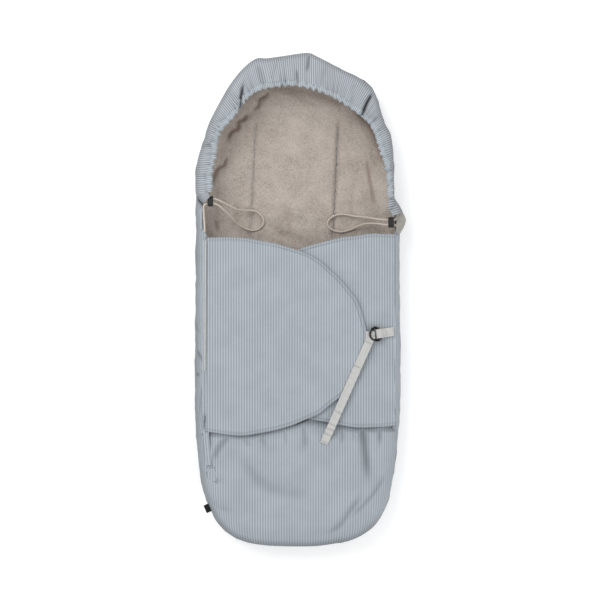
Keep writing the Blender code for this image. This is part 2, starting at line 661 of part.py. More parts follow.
def build_pouch(outline):
    pouch = Pouch(outline)
    names = (("pouch_shell", "striped_cotton"), ("pouch_padding", "wadding"), ("pouch_lining", "pile"))
    depths = layer_depths(SHELL, COVER_WADDING, COVER_PILE)
    for (name, material), (outer, inner) in zip(names, depths):
        crowned(name, *pouch.surface(outer), *pouch.surface(inner), material)
    build_band(pouch.mouth)


def crowned(name, outer, outer_mouth, inner, inner_mouth, material):
    """A solid between two surfaces that each end in a flat crown bounded by the mouth."""
    rows, columns = outer.shape[:2]
    count = rows * columns
    mouth = len(outer_mouth)
    points = np.concatenate([outer.reshape(-1, 3), outer_mouth, inner.reshape(-1, 3), inner_mouth])
    a = np.arange(count).reshape(rows, columns)
    shift = count + mouth
    faces = grid_faces(a, False) + grid_faces(a + shift, False)
    edge = [a[-1, -1], *range(count, count + mouth), a[-1, 0]]
    crown = [*a[-1].tolist(), *range(count, count + mouth)]
    faces += [tuple(crown), tuple(k + shift for k in crown)]
    rims = (a[0].tolist(), a[:, 0].tolist(), a[:, -1].tolist(), [int(k) for k in edge])
    for rim in rims:
        faces += strip(rim, [k + shift for k in rim])
    return add_mesh(name, points, faces, material)


def build_band(mouth):
    """The facing inside the pouch's mouth: a flange up its edge and a ledge under the flaps."""
    foot, top = BAND_FOOT, BAND_HEAD
    profile = (
        (FIT, foot),
        (FIT, top),
        (FIT + BAND, top),
        (FIT + BAND, foot + BAND),
        (BAND_REACH, foot + BAND),
        (BAND_REACH, foot),
    )
    rows = [[(x, y + dy, z) for dy, z in profile] for x, y in mouth]
    count = len(profile)
    points = [point for row in rows for point in row]
    index = np.arange(len(points)).reshape(len(rows), count)
    faces = grid_faces(index, True)
    faces += [tuple(index[0].tolist()), tuple(index[-1].tolist())]
    add_mesh("pouch_mouth_band", points, faces, "webbing")


def flap_surface(shares, seam_top, crest, rise, depth):
    """Rows of points across a flap, one row a column of its table, at this depth below its top."""
    table = np.asarray(shares)
    x = table[:, 0] * HALF_WIDTH
    away = (np.abs(x - x[0]) / rise).clip(0, 1)
    z = seam_top + (crest - seam_top) * away * away * (3 - 2 * away) - depth
    rows = []
    for share in FLAP_ROW_SHARES:
        y = (table[:, 1] * (1 - share) + table[:, 2] * share) * HALF_LENGTH
        rows.append(np.column_stack([x, y, z]))
    return np.array(rows)


def build_flap(side, shares, seam_top, crest, rise):
    names = (("shell", "striped_cotton"), ("padding", "wadding"), ("lining", "pile"))
    layers = []
    for (name, material), depths in zip(names, layer_depths(SHELL, COVER_WADDING, COVER_PILE)):
        outer, inner = (flap_surface(shares, seam_top, crest, rise, depth) for depth in depths)
        layers.append(slab(f"{side}_flap_{name}", outer, inner, material))
    return layers


def build_strap():
    """Webbing sewn to the left flap's edge, round both rings' bows and back over the flap."""
    top = LEFT_FLAP_CREST + FIT
    inside = 4 * RING_WIRE + 3 * FIT
    low = top - inside - WEBBING
    start = LEFT_FLAP_EDGE + STRAP_GAP
    end = start + STRAP_LOOP
    back = LEFT_FLAP_EDGE - STRAP_OVERLAP
    profile = [
        (start, low),
        (end, low),
        (end, top + WEBBING - FIT),
        (back, top + WEBBING - FIT),
        (back, top + FIT),
        (end - WEBBING, top + FIT),
        (end - WEBBING, low + WEBBING),
        (start, low + WEBBING),
    ]
    loop = across_y(prism("strap_loop", profile, -STRAP_WIDTH / 2 + FIT, STRAP_WIDTH / 2 - FIT), TAB_Y)
    first, last = scaled(STRAP_TAIL_SHARES)
    along = (last - first) / np.linalg.norm(last - first)
    side = np.array([-along[1], along[0]]) * STRAP_WIDTH / 2
    half = STRAP_WIDTH / 2
    outline = [
        (end - WEBBING - 2 * FIT, TAB_Y + half),
        (back, TAB_Y + half),
        tuple(last - side),
        tuple(last + side),
        (end - WEBBING - 2 * FIT, TAB_Y - half),
    ]
    strap = prism("closure_strap", outline, top, top + WEBBING, "webbing")
    combine(strap, loop, "UNION")
    return strap


def build_tab():
    """Webbing sewn to the right flap, folded round both rings' bars."""
    slope = flap_slope()

    def flap_top(x):
        return float(np.interp(RIGHT_SEAM - x, *slope))

    top = LEFT_FLAP_CREST + FIT
    low = top - 4 * RING_WIRE - 3 * FIT - WEBBING
    left = LOWER_RING_BAR - RING_WIRE - FIT - WEBBING
    right = LOWER_RING_BAR + RING_STAGGER + RING_WIRE + FIT
    sewn, end = RIGHT_SEAM - TAB_SEWN_INSET, RIGHT_SEAM - TAB_END_INSET
    outer = [
        (left, low),
        (right, max(low, flap_top(right) + FIT)),
        (sewn, flap_top(sewn) + FIT),
        (end, flap_top(end) + FIT),
        (end, flap_top(end) + FIT + 2 * WEBBING),
        (sewn, flap_top(sewn) + FIT + 2.5 * WEBBING),
        (right, top + WEBBING),
        (left, top + WEBBING),
    ]
    inner = [
        (left + WEBBING, low + WEBBING),
        (right - WEBBING / 2, low + WEBBING),
        (right, low + WEBBING),
        (right + WEBBING / 2, low + 1.2 * WEBBING),
        (right + WEBBING / 2, low + 1.6 * WEBBING),
        (right + WEBBING / 4, top - WEBBING),
        (right, top),
        (left + WEBBING, top),
    ]
    half = TAB_WIDTH / 2
    grids = [np.array([[(x, TAB_Y + y, z) for x, z in loop] for y in (-half, half)]) for loop in (outer, inner)]
    return slab("ring_tab", *grids, "webbing", wrap=True)


def flap_slope():
    """Distances from the right seam, and the right flap's height there."""
    table = np.asarray(RIGHT_FLAP_SHARES)
    x = table[:, 0] * HALF_WIDTH
    z = flap_surface(RIGHT_FLAP_SHARES, RIGHT_SEAM_TOP, RIGHT_FLAP_CREST, RIGHT_RISE, 0.0)[0][:, 2]
    return RIGHT_SEAM - x, z


def build_ring(name, bar_x, z):
    """A D-shaped ring: a straight bar along y, and a bow to its left."""
    half = RING_WIDTH / 2
    corner = RING_WIRE * 2
    path = [(bar_x, y) for y in (half - corner, 0.0, corner - half)]
    bow = [math.radians(a) for a in range(-90, -271, -15)]
    path += [(bar_x - corner + RING_REACH * math.cos(a), half * math.sin(a)) for a in bow]
    curve = bpy.data.curves.new(name, "CURVE")
    curve.dimensions = "3D"
    curve.bevel_depth = RING_WIRE
    curve.bevel_resolution = 2
    line = curve.splines.new("POLY")
    line.points.add(len(path) - 1)
    for point, (x, y) in zip(line.points, path):
        point.co = (x, TAB_Y + y, z, 1.0)
    line.use_cyclic_u = True
    curve.materials.append(finish("ring_steel"))
    obj = bpy.data.objects.new(name, curve)
    bpy.context.collection.objects.link(obj)
    return obj


def build_closure():
    """Flaps, strap, tab and rings, each hung on its own joint's axis."""
    left = build_flap("left", LEFT_FLAP_SHARES, LEFT_SEAM_TOP, LEFT_FLAP_CREST, LEFT_RISE)
    right = build_flap("right", RIGHT_FLAP_SHARES, RIGHT_SEAM_TOP, RIGHT_FLAP_CREST, RIGHT_RISE)
    carry(left + [build_strap()], "left_flap_axis", (-LEFT_SEAM, 0.0, LEFT_SEAM_TOP + FIT))
    right_pivot = (RIGHT_SEAM, 0.0, RIGHT_SEAM_TOP + FIT)
    right_axis = carry(right + [build_tab()], "right_flap_axis", right_pivot)
    top = LEFT_FLAP_CREST + FIT
    rings = (
        ("d_ring_lower", LOWER_RING_BAR, top - 3 * RING_WIRE - 2 * FIT),
        ("d_ring_upper", LOWER_RING_BAR + RING_STAGGER, top - RING_WIRE - FIT),
    )
    for name, bar, z in rings:
        ring = build_ring(name, bar, z)
        axis = carry([ring], f"{name}_axis", (bar, TAB_Y, z))
        axis.parent = right_axis
        axis.location = [a - b for a, b in zip((bar, TAB_Y, z), right_pivot)]


def build_patch(name, outline, head, foot, outer, inner, lift, thickness, material):
    """A thin piece on the left wall, between two insets from the outline."""
    start, end = (outline.distance_at(-1, y) for y in (head, foot))
    count = max(4, math.ceil((end - start) / STATION_SPACING) + 1)
    points, inward = outline.at(np.linspace(start, end, count))
    base = SIDE_RADIUS + FIT + STEP_GAP
    grids = []
    for radius in (SIDE_RADIUS + lift + thickness, SIDE_RADIUS + lift):
        rows = []
        for share in (0.0, 0.5, 1.0):
            inset = outer + (inner - outer) * share
            angle = math.acos(min(1.0, (SIDE_RADIUS - inset) / radius))
            rows.append(raised(points + inward * inset, base + radius * math.sin(angle)))
        grids.append(np.array(rows))
    return slab(name, *grids, material)


def build_zip(outline):
    """The zip in the left seam, the patch over its lower end, and the blank side label."""
    build_patch("zip_tape", outline, ZIP_HEAD, ZIP_FOOT, ZIP_OUTER, ZIP_INNER, FIT, TAPE, "webbing")
    on_tape = 2 * FIT + TAPE
    build_patch("zip_coil", outline, ZIP_HEAD, ZIP_FOOT, COIL_OUTER, COIL_INNER, on_tape, COIL, "black_plastic")
    build_patch(
        "zip_end_patch", outline, PATCH_HEAD, PATCH_FOOT, PATCH_OUTER, PATCH_INNER, FIT, LABEL, "striped_cotton"
    )
    build_patch("side_label", outline, LABEL_HEAD, LABEL_FOOT, LABEL_OUTER, LABEL_INNER, FIT, LABEL, "black_label")
    build_slider(outline)


def build_slider(outline):
    """The slider on the coil, and its pull, both turned to the wall's slope."""
    points, inward = outline.at(np.array([outline.distance_at(-1, SLIDER_Y)]))
    middle = (COIL_OUTER + COIL_INNER) / 2
    angle = math.acos((SIDE_RADIUS - middle) / SIDE_RADIUS)
    seat = SIDE_RADIUS + 2 * FIT + TAPE + COIL + SLIDER_PLAY
    x = float(points[0, 0]) + SIDE_RADIUS - seat * math.cos(angle)
    z = SIDE_RADIUS + FIT + STEP_GAP + seat * math.sin(angle)
    place = Matrix.Translation((x, SLIDER_Y, z)) @ Matrix.Rotation(angle - math.pi / 2, 4, "Y")
    body = block(
        "zip_slider",
        (0.0, 0.0, SLIDER_HEIGHT / 2),
        (SLIDER_WIDTH, SLIDER_LENGTH, SLIDER_HEIGHT),
        "black_plastic",
    )
    lift = SLIDER_HEIGHT - PULL
    pull = block(
        "zip_pull",
        (0.0, -SLIDER_LENGTH / 2 - FIT - PULL_LENGTH / 2, lift + PULL / 2),
        (PULL_WIDTH, PULL_LENGTH, PULL),
        "ring_steel",
    )
    pivot = place @ Matrix.Translation((0.0, -SLIDER_LENGTH / 2 - FIT, lift + PULL / 2))
    for obj in (body, pull):
        obj.data.transform(place)
    carry([body], "zip_slider_axis", tuple(place.translation))
    carry([pull], "zip_pull_axis", tuple(pivot.translation))


def rod_across(name, centre, radius, length):
    """A round cutter along x."""
    turn = [2 * math.pi * k / 16 for k in range(16)]
    x, y, z = centre
    points = [
        (px, y + radius * math.cos(a), z + radius * math.sin(a))
        for px in (x - length / 2, x + length / 2)
        for a in turn
    ]
    faces = [tuple(range(16)), tuple(range(16, 32))]
    faces += [(k, (k + 1) % 16, (k + 1) % 16 + 16, k + 16) for k in range(16)]
    return add_mesh(name, points, faces)


def build_lock(side, centre):
    """A cord lock: two cord holes along x, and a button between them on a spring."""
    x, y, z = centre
    width, length, height = LOCK_SIZE
    body = block(f"lock_{side}_body", centre, LOCK_SIZE, "black_plastic")
    bevel = body.modifiers.new("edges", "BEVEL")
    bevel.width = LOCK_BEVEL
    bevel.segments = 2
    for sign, end in ((1, "upper"), (-1, "lower")):
        hole_at = (x, y + sign * LOCK_HOLE_SPACING / 2, z + LOCK_HOLE_LIFT)
        cutter = rod_across(f"lock_{side}_{end}_hole", hole_at, LOCK_HOLE, width + 2 * CUT_OVERRUN)
        combine(body, cutter, "DIFFERENCE")
    top = z + height / 2
    pocket_low = z - height / 2 + POCKET_FLOOR
    pocket = [side_length + 2 * FIT for side_length in BUTTON_SIZE[:2]]
    cutter = block(
        f"lock_{side}_pocket",
        (x, y, (pocket_low + top + CUT_OVERRUN) / 2),
        (*pocket, top + CUT_OVERRUN - pocket_low),
    )
    combine(body, cutter, "DIFFERENCE")
    cap_low = top + BUTTON_TRAVEL + FIT
    stem_low = cap_low - BUTTON_SIZE[2]
    stem = block(f"lock_{side}_stem", (x, y, (stem_low + cap_low + FIT) / 2), (*BUTTON_SIZE[:2], BUTTON_SIZE[2] + FIT))
    button = block(f"lock_{side}_button", (x, y, cap_low + BUTTON_CAP[2] / 2), BUTTON_CAP, "black_plastic")
    combine(button, stem, "UNION")
    spring = build_spring(f"lock_{side}_spring", (x, y), pocket_low + FIT, stem_low - FIT)
    carry([body], f"lock_{side}_axis", centre)
    carry([button], f"lock_{side}_button_axis", (x, y, cap_low))
    return spring


def build_spring(name, middle, low, high):
    """A round coil spring standing between two heights."""
    steps = 10 * SPRING_TURNS
    low, high = low + SPRING_WIRE, high - SPRING_WIRE
    path = [
        (
            middle[0] + SPRING_RADIUS * math.cos(2 * math.pi * k / 10),
            middle[1] + SPRING_RADIUS * math.sin(2 * math.pi * k / 10),
            low + (high - low) * k / steps,
        )
        for k in range(steps + 1)
    ]
    curve = bpy.data.curves.new(name, "CURVE")
    curve.dimensions = "3D"
    curve.bevel_depth = SPRING_WIRE
    curve.bevel_resolution = 0
    curve.use_fill_caps = True
    line = curve.splines.new("POLY")
    line.points.add(len(path) - 1)
    for point, place in zip(line.points, path):
        point.co = (*place, 1.0)
    curve.materials.append(finish("ring_steel"))
    obj = bpy.data.objects.new(name, curve)
    bpy.context.collection.objects.link(obj)
    return obj


def main():
    clear_scene()
    outline = Outline()
    build_back(outline)
    build_hood()
    build_pouch(outline)
    build_closure()
    build_zip(outline)
    build_cords()
    build_lock("left", LEFT_LOCK)
    build_lock("right", RIGHT_LOCK)


main()
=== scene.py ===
"""Stroller footmuff lying on its back, dressed for pictures: striped cotton, pile, webbing, cords and trims.

Metres, +Z up. +Y runs towards the hood and +X to the right seen from above, as in the CAD's own frame.
"""

import logging
import math
from dataclasses import dataclass, replace
from enum import Enum

import bmesh
import bpy
import numpy as np
from mathutils import Matrix, Vector


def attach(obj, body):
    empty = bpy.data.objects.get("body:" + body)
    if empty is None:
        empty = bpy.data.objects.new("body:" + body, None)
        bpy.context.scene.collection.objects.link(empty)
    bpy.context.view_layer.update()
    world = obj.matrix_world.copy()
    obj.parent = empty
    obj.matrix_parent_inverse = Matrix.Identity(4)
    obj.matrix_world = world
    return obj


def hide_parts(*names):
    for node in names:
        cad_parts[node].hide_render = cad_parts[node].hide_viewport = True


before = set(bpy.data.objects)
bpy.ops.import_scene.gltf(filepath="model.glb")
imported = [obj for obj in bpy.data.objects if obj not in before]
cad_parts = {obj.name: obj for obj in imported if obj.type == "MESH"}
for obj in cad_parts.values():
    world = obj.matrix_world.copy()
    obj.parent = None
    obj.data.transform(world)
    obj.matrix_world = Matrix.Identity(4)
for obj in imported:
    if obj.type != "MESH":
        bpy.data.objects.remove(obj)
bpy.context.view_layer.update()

Array = np.ndarray
norm = np.linalg.norm
Node = bpy.types.Node
Object = bpy.types.Object
Socket = bpy.types.NodeSocket
Tree = bpy.types.NodeTree
Pair = tuple[float, float]
Triple = tuple[float, float, float]
Flat = tuple[Pair, ...]
Solid = tuple[Triple, ...]
LOG = logging.getLogger("footmuff")
MM = 0.001
PIXEL = 1.92 * MM  # one column of a 600-wide top view at the object's height
PLAN_MIDDLE = (298.0, 299.75)  # the column and row of the CAD's origin in that view
TURN = 2 * math.pi
TINY = 1e-9
SAME_PLACE = 2e-6
UP = (0.0, 0.0, 1.0)
WAVES = 18
BAND_CORNERS = 32
BAND_POWER = 0.35
SHADE_POWER = 2.2
SHEEN_ROUGHNESS = 0.6
CLOTH_SPECULAR = 0.2
SEAM_SHADOW = (0.05, 0.045, 0.04, 1.0)

HALF_LENGTH = 0.474
HALF_WIDTH = 0.198
HALVES = (HALF_WIDTH, HALF_LENGTH)
SIDE_RADIUS = 0.045
# Where the walls end: distances from the middle line at seams and at the left lock, and a height elsewhere
LEFT_SEAM, RIGHT_SEAM = 0.173, 0.1836
LEFT_SEAM_FOOT, RIGHT_SEAM_FOOT, SEAM_HEAD = -0.2605, -0.2505, 0.128
LEFT_HOOD_END, RIGHT_HOOD_END = 0.187, 0.189
LEFT_LOCK_LINE, RIGHT_LOCK_RIM = 0.184, 0.056
TAB_Y = -0.0640


def divided(parts: int, *rows: tuple[float, ...]) -> tuple[tuple[float, ...], ...]:
    """Rows of numbers given in parts of 1."""
    return tuple(tuple(value / parts for value in row) for row in rows)


# The outline from the foot's tip, in shares of the half width and the half length
RIGHT_SIDE = divided(
    1000,
    (10, -1000), (184, -998), (359, -988), (504, -976), (640, -949), (746, -913), (824, -864), (877, -807),
    (911, -739), (940, -658), (964, -568), (984, -467), (998, -325), (993, -123), (984, 80), (984, 222),
    (988, 299), (955, 368),
)
HOOD_FOOT = divided(
    1000,
    (935, 420), (930, 493), (928, 566), (921, 615), (896, 672), (843, 716), (804, 765), (751, 834),
    (688, 870), (572, 905), (446, 929), (310, 959), (194, 984), (107, 1000), (-10, 996), (-165, 986),
    (-310, 978), (-417, 975), (-543, 933), (-659, 872), (-736, 818), (-799, 769), (-867, 712), (-906, 656),
    (-964, 583), (-992, 518), (-994, 435),
)
LEFT_SIDE = divided(
    1000,
    (-995, 380), (-995, 161), (-998, -82), (-1000, -325), (-993, -508), (-976, -609), (-950, -710),
    (-911, -783), (-853, -848), (-766, -909), (-649, -955), (-504, -982), (-329, -995), (-155, -999),
)
# The rim of the face opening, each point beside one of HOOD_FOOT
HOOD_RIM = divided(
    1000,
    (862, 420), (862, 469), (838, 542), (795, 591), (761, 639), (727, 678), (678, 712), (601, 741),
    (533, 763), (455, 785), (378, 805), (300, 822), (203, 839), (107, 850), (0, 860), (-126, 861),
    (-242, 855), (-349, 846), (-441, 826), (-523, 793), (-601, 745), (-669, 712), (-746, 676), (-775, 635),
    (-790, 583), (-826, 518), (-830, 440),
)
# Share of the half width, and the shares of the half length where a flap starts and ends there
LEFT_FLAP = divided(
    1000,
    (-872.4, 250, -531), (-678, 252, -544), (-523, 249, -547), (-368, 238, -537), (-213, 226, -524),
    (-58, 207, -505), (68, 190, -483), (194, 162, -461), (320, 117, -419), (436, 69, -382), (514, 29, -345),
    (572, -5, -307), (620, -62, -265), (659, -123, -183),
)
RIGHT_FLAP = divided(
    1000,
    (925.5, 265, -507), (820, 266, -513.5), (707, 267, -515), (552, 258, -515), (402, 250, -505),
    (247, 233, -492), (126, 220, -482), (0, 202, -463), (-78, 178, -445), (-126, 153, -426),
    (-174, 105, -382), (-204, 60, -345), (-233, -82, -203),
)
# The edge of the foot pouch's mouth, in the same shares
MOUTH = divided(
    1000,
    (930, -525.5), (707, -527.5), (552, -527.5), (407, -518), (242, -505), (126, -494), (-58, -513.5),
    (-213, -529.5), (-368, -542.5), (-523, -553), (-678, -550.5), (-875, -543.5),
)
# Metres: out of the channel, through the lock, round the loop, back and down under the flap
LEFT_CORD = divided(
    10000,
    (-1684, 2254, 814), (-1687, 2212, 801), (-1688, 2166, 776), (-1706, 2115, 749), (-1750, 2088, 730),
    (-1794, 2061, 715), (-1813, 2010, 706), (-1794, 1959, 704), (-1760, 1935, 704), (-1729, 1930, 704),
    (-1680, 1930, 704), (-1623, 1930, 704), (-1560, 1922, 697), (-1461, 1875, 650), (-1338, 1813, 560),
    (-1240, 1765, 480), (-1142, 1735, 400), (-1033, 1725, 320), (-910, 1725, 255), (-812, 1705, 228),
    (-726, 1643, 216), (-676, 1568, 212), (-670, 1490, 210), (-703, 1418, 210), (-776, 1360, 212),
    (-862, 1340, 218), (-972, 1355, 240), (-1069, 1397, 280), (-1167, 1464, 350), (-1240, 1537, 425),
    (-1315, 1618, 505), (-1388, 1691, 580), (-1461, 1757, 640), (-1548, 1820, 690), (-1623, 1838, 704),
    (-1680, 1838, 704), (-1729, 1838, 704), (-1767, 1828, 704), (-1795, 1800, 705), (-1805, 1762, 708),
    (-1803, 1700, 718), (-1797, 1600, 735), (-1790, 1500, 752), (-1784, 1400, 764), (-1782, 1285, 768),
)
RIGHT_CORD = divided(
    10000,
    (1746, 1940, 805), (1747, 1890, 801), (1757, 1838, 785), (1783, 1790, 762), (1822, 1745, 733),
    (1861, 1700, 703), (1893, 1653, 674), (1907, 1606, 650), (1898, 1567, 632), (1870, 1539, 622),
    (1833, 1528, 619), (1780, 1528, 619), (1727, 1528, 619), (1680, 1531, 607), (1610, 1538, 565),
    (1511, 1550, 500), (1375, 1575, 405), (1240, 1595, 325), (1106, 1608, 270), (985, 1633, 240),
    (877, 1648, 230), (770, 1643, 228), (662, 1602, 224), (595, 1541, 216), (570, 1474, 212),
    (595, 1406, 210), (676, 1345, 210), (770, 1315, 210), (877, 1315, 212), (985, 1341, 222),
    (1092, 1385, 250), (1200, 1432, 300), (1294, 1460, 355), (1404, 1468, 425), (1524, 1460, 510),
    (1620, 1444, 575), (1675, 1437, 607), (1727, 1436, 619), (1780, 1436, 619), (1833, 1436, 619),
    (1871, 1426, 619), (1899, 1398, 619), (1909, 1360, 619), (1899, 1285, 619),
)


def plan(*places: Pair) -> Array:
    """Places given by column and row of the top view, as (x, y) in metres."""
    return (np.asarray(places, float) - PLAN_MIDDLE) * (PIXEL, -PIXEL)


def raised(places: Solid) -> Array:
    """Places given by column and row of the top view and height in metres, as points."""
    table = np.asarray(places, float)
    return np.column_stack([plan(*table[:, :2]), table[:, 2]])


def smooth(share: Array) -> Array:
    """A step that leaves 0 and meets 1 without a corner: 3 s squared less 2 s cubed."""
    share = np.clip(share, 0, 1)
    return share * share * (3 - 2 * share)


def fade(value: Array, start: float, end: float) -> Array:
    """The smooth step from 0 at the start to 1 at the end, which may also lie below the start."""
    return smooth((value - start) / (end - start))


def bell(away: Array, width: float) -> Array:
    """1 on a line and less on both sides of it: the exponential of minus (away over width) squared."""
    return np.exp(-((away / width) ** 2))


def rounded(away: Array, radius: float) -> Array:
    """Height of a quarter round at this distance from its edge: the root of 1 less (1 - d / r) squared."""
    return np.sqrt(1 - (1 - np.clip(away / radius, 0, 1)) ** 2)


def spline(points: Array, spans: int, closed: bool = False) -> Array:
    """A smooth curve through points, by cubics whose end slopes are half the step between neighbours.

    Args:
        points: Rows of coordinates.
        spans: Pieces between two neighbouring points.
        closed: Whether the last point joins the first.

    Returns:
        The curve's points, with every given point among them.
    """
    points = np.asarray(points, float)
    if closed:
        around = np.vstack([points[-1], points, points[:2]])
    else:
        around = np.vstack([2 * points[0] - points[1], points, 2 * points[-1] - points[-2]])
    before, start, end, after = (around[k : len(around) - 3 + k, None] for k in range(4))
    t = np.linspace(0, 1, spans, endpoint=False)[None, :, None]
    found = start + t * (end - before) / 2 + t**2 * (before - 2.5 * start + 2 * end - after / 2)
    found = (found + t**3 * (1.5 * (start - end) + (after - before) / 2)).reshape(-1, points.shape[1])
    return found if closed else np.vstack([found, points[-1]])


def travelled(points: Array) -> Array:
    """Distance along a row of points, from its first."""
    return np.concatenate([[0], np.cumsum(norm(np.diff(points, axis=0), axis=1))])


def resampled(points: Array, count: int) -> Array:
    """Points evenly spaced along a row of points: each coordinate read off by the distance travelled."""
    along = travelled(points)
    return np.column_stack([np.interp(np.linspace(0, along[-1], count), along, row) for row in points.T])


def distance_to(flat: Array, line: Array) -> tuple[Array, Array]:
    """How far points are from a line: the least of their distances to its pieces.

    Args:
        flat: (x, y) of the points, in any layout.
        line: (x, y) of the line's corners.

    Returns:
        The distances, and where along the line the nearest place is, as a share of its length.
    """
    points = flat.reshape(-1, 2)
    passed = travelled(line)
    best, where = np.full(len(points), np.inf), np.zeros(len(points))
    for start, end, before in zip(line[:-1], line[1:], passed):
        step = end - start
        length = max(float(norm(step)), TINY)
        t = ((points - start) @ step / length**2).clip(0, 1)
        away = norm(points - start - t[:, None] * step, axis=1)
        closer = away < best
        best, where = np.where(closer, away, best), np.where(closer, before + t * length, where)
    return best.reshape(flat.shape[:-1]), (where / passed[-1]).reshape(flat.shape[:-1])


def ripple(points: Array, wavelength: float, seed: int) -> Array:
    """Smooth unevenness: the sum of waves in seeded directions, over the root of their number.

    Args:
        points: Coordinates, the last axis holding one to three of them.
        wavelength: The waves' middle length.
        seed: Picks the directions, lengths and phases.

    Returns:
        About -1 to 1 for each point.
    """
    source = np.random.default_rng(seed)
    directions = source.normal(size=(WAVES, points.shape[-1]))
    directions /= norm(directions, axis=1)[:, None]
    lengths = wavelength * source.uniform(0.75, 1.35, WAVES)
    phases = source.uniform(0, TURN, WAVES)
    turns = points @ (directions * (TURN / lengths)[:, None]).T + phases
    return np.cos(turns).sum(axis=-1) / math.sqrt(WAVES)


@dataclass(frozen=True)
class Bumps:
    """Unevenness of one size: a ripple of this wavelength in metres, times its height in millimetres."""

    wavelength: float
    height: float
    seed: int

    def at(self, points: Array) -> Array:
        """The lift at each point, in metres."""
        return ripple(points, self.wavelength, self.seed) * self.height * MM


def normals(grid: Array) -> Array:
    """Unit normals of a grid of points, from the cross product of its two directions, turned to face up.

    Args:
        grid: Points, rows by columns by 3.

    Returns:
        One direction for each point.
    """
    found = np.cross(np.gradient(grid, axis=1), np.gradient(grid, axis=0))
    size = norm(found, axis=-1, keepdims=True)
    found = np.where(size > TINY * TINY, found / np.maximum(size, TINY * TINY), UP)
    return found if found[..., 2].mean() > 0 else -found


def edge_distance(grid: Array) -> Array:
    """Distance to the grid's nearest open edge, by the sums of the steps along its own lines.

    Args:
        grid: Points, rows by columns by 3.

    Returns:
        One distance for each point.
    """
    found = np.full(grid.shape[:2], np.inf)
    for axis in (0, 1):
        steps = norm(np.diff(grid, axis=axis), axis=-1)
        start = np.insert(np.cumsum(steps, axis=axis), 0, 0, axis=axis)
        end = start.max(axis=axis, keepdims=True) - start
        found = np.minimum(found, np.minimum(start, end))
    return found


def closed_edges(thickness: Array) -> Array:
    """The thickness with its first and last rows and columns brought to zero."""
    return np.pad(thickness[1:-1, 1:-1], 1)


def rounded_off(grid: Array, thickness: float, radius: float = TINY) -> Array:
    """A pad's thickness, rounding off to nothing over this radius at all four edges of its grid."""
    return closed_edges(thickness * rounded(edge_distance(grid), radius))


@dataclass(frozen=True)
class Fold:
    """A crease in cloth, or a ridge where its depth is negative.

    Its depth falls off as the bell of the distance from its line. The line is in columns and rows of the top
    view, the width and the depth are millimetres, and the fades are shares of the line at its two ends.
    """

    line: Flat
    width: float
    depth: float
    # painted shade along the crease, at its deepest
    shade: float = 0.0
    fades: Pair = (0.3, 0.3)

    def drop(self, flat: Array) -> Array:
        """How far points sink: the depth, times the bell across the line, times a smooth step at either end.

        Args:
            flat: (x, y) of the points.

        Returns:
            The drop in metres.
        """
        line = plan(*self.line)
        line = spline(line, 6) if len(line) > 2 else line
        away, share = distance_to(flat, line)
        start, end = (max(f, TINY) for f in self.fades)
        taper = smooth(share / start) * smooth((1 - share) / end)
        return self.depth * MM * bell(away, self.width * MM) * taper

    def darkness(self, flat: Array) -> Array:
        """Painted shade in the crease at each point, from 0 to 1: the drop over its depth, to a higher power.
        """
        return (self.drop(flat) / (self.depth * MM)) ** SHADE_POWER * self.shade


def sunk(flat: Array, folds: tuple[Fold, ...]) -> Array:
    """The joint depth of several folds."""
    return sum((fold.drop(flat) for fold in folds), np.zeros(flat.shape[:-1]))


def shaded(flat: Array, folds: tuple[Fold, ...]) -> Array:
    """The darkest painted crease shade of several folds at each point."""
    return np.max([fold.darkness(flat) for fold in folds], axis=0)


def lit_side(flat: Array) -> Array:
    """1 over the right side, which faces the light, and 0 over the left side and round the foot's tip."""
    return fade(flat[..., 0], 0.0, 0.1) * fade(flat[..., 1], -0.45, -0.40)


def loft(name: str, rows: Array, finish: "Finish", body: str = "quilt", **layers: Array) -> Object:
    """A mesh over a grid of points, with coincident edges merged so that it closes.

    Args:
        name: The piece's name.
        rows: Points, rows by columns by 3.
        finish: What it is made of.
        body: The CAD body that it moves with.
        layers: For each point, cloth is (u, v) in metres, and shade how much darker it is, from 0 to 1.

    Returns:
        The finished object, riding on its body.
    """
    count = rows.shape[0] * rows.shape[1]
    corner = np.arange(count).reshape(rows.shape[:2])
    quads = np.stack([corner[:-1, :-1], corner[:-1, 1:], corner[1:, 1:], corner[1:, :-1]], axis=-1)
    quads = quads.reshape(-1, 4)
    mesh = bpy.data.meshes.new(name)
    mesh.from_pydata(rows.reshape(-1, 3).tolist(), [], quads.tolist())
    if "cloth" in layers:
        places = layers["cloth"].reshape(-1, 2)[quads.ravel()]
        mesh.uv_layers.new(name="cloth").uv.foreach_set("vector", places.astype(np.float32).ravel())
    if "shade" in layers:
        values = mesh.attributes.new("shade", "FLOAT", "POINT")
        values.data.foreach_set("value", layers["shade"].astype(np.float32).ravel())
    work = bmesh.new()
    work.from_mesh(mesh)
    bmesh.ops.remove_doubles(work, verts=work.verts, dist=SAME_PLACE)
    bmesh.ops.recalc_face_normals(work, faces=work.faces)
    work.to_mesh(mesh)
    work.free()
    mesh.shade_smooth()
    obj = bpy.data.objects.new(name, mesh)
    bpy.context.scene.collection.objects.link(obj)
    mesh.materials.append(finish.material())
    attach(obj, body)
    LOG.info("%s: %d faces on %s", name, len(mesh.polygons), body)
    return obj


def pad(
    name: str,
    top: Array,
    thickness: Array,
    finish: "Finish",
    body: str = "quilt",
    under: Array | None = None,
    **layers: Array,
) -> Object:
    """A closed pad: its top is the grid, and its back is the top moved in along the normals by the thickness.

    Args:
        name: The piece's name.
        top: Points, rows by columns by 3.
        thickness: For each point, zero round the edge so that the two sides meet.
        finish: What it is made of.
        body: The CAD body that it moves with.
        under: Normals to use instead of the grid's own.
        layers: The top's cloth and shade, as for loft.

    Returns:
        The finished object.
    """
    back = top - (normals(top) if under is None else under) * thickness[..., None]
    both = {key: np.concatenate([layer, layer[::-1]]) for key, layer in layers.items()}
    return loft(name, np.concatenate([top, back[::-1]]), finish, body, **both)


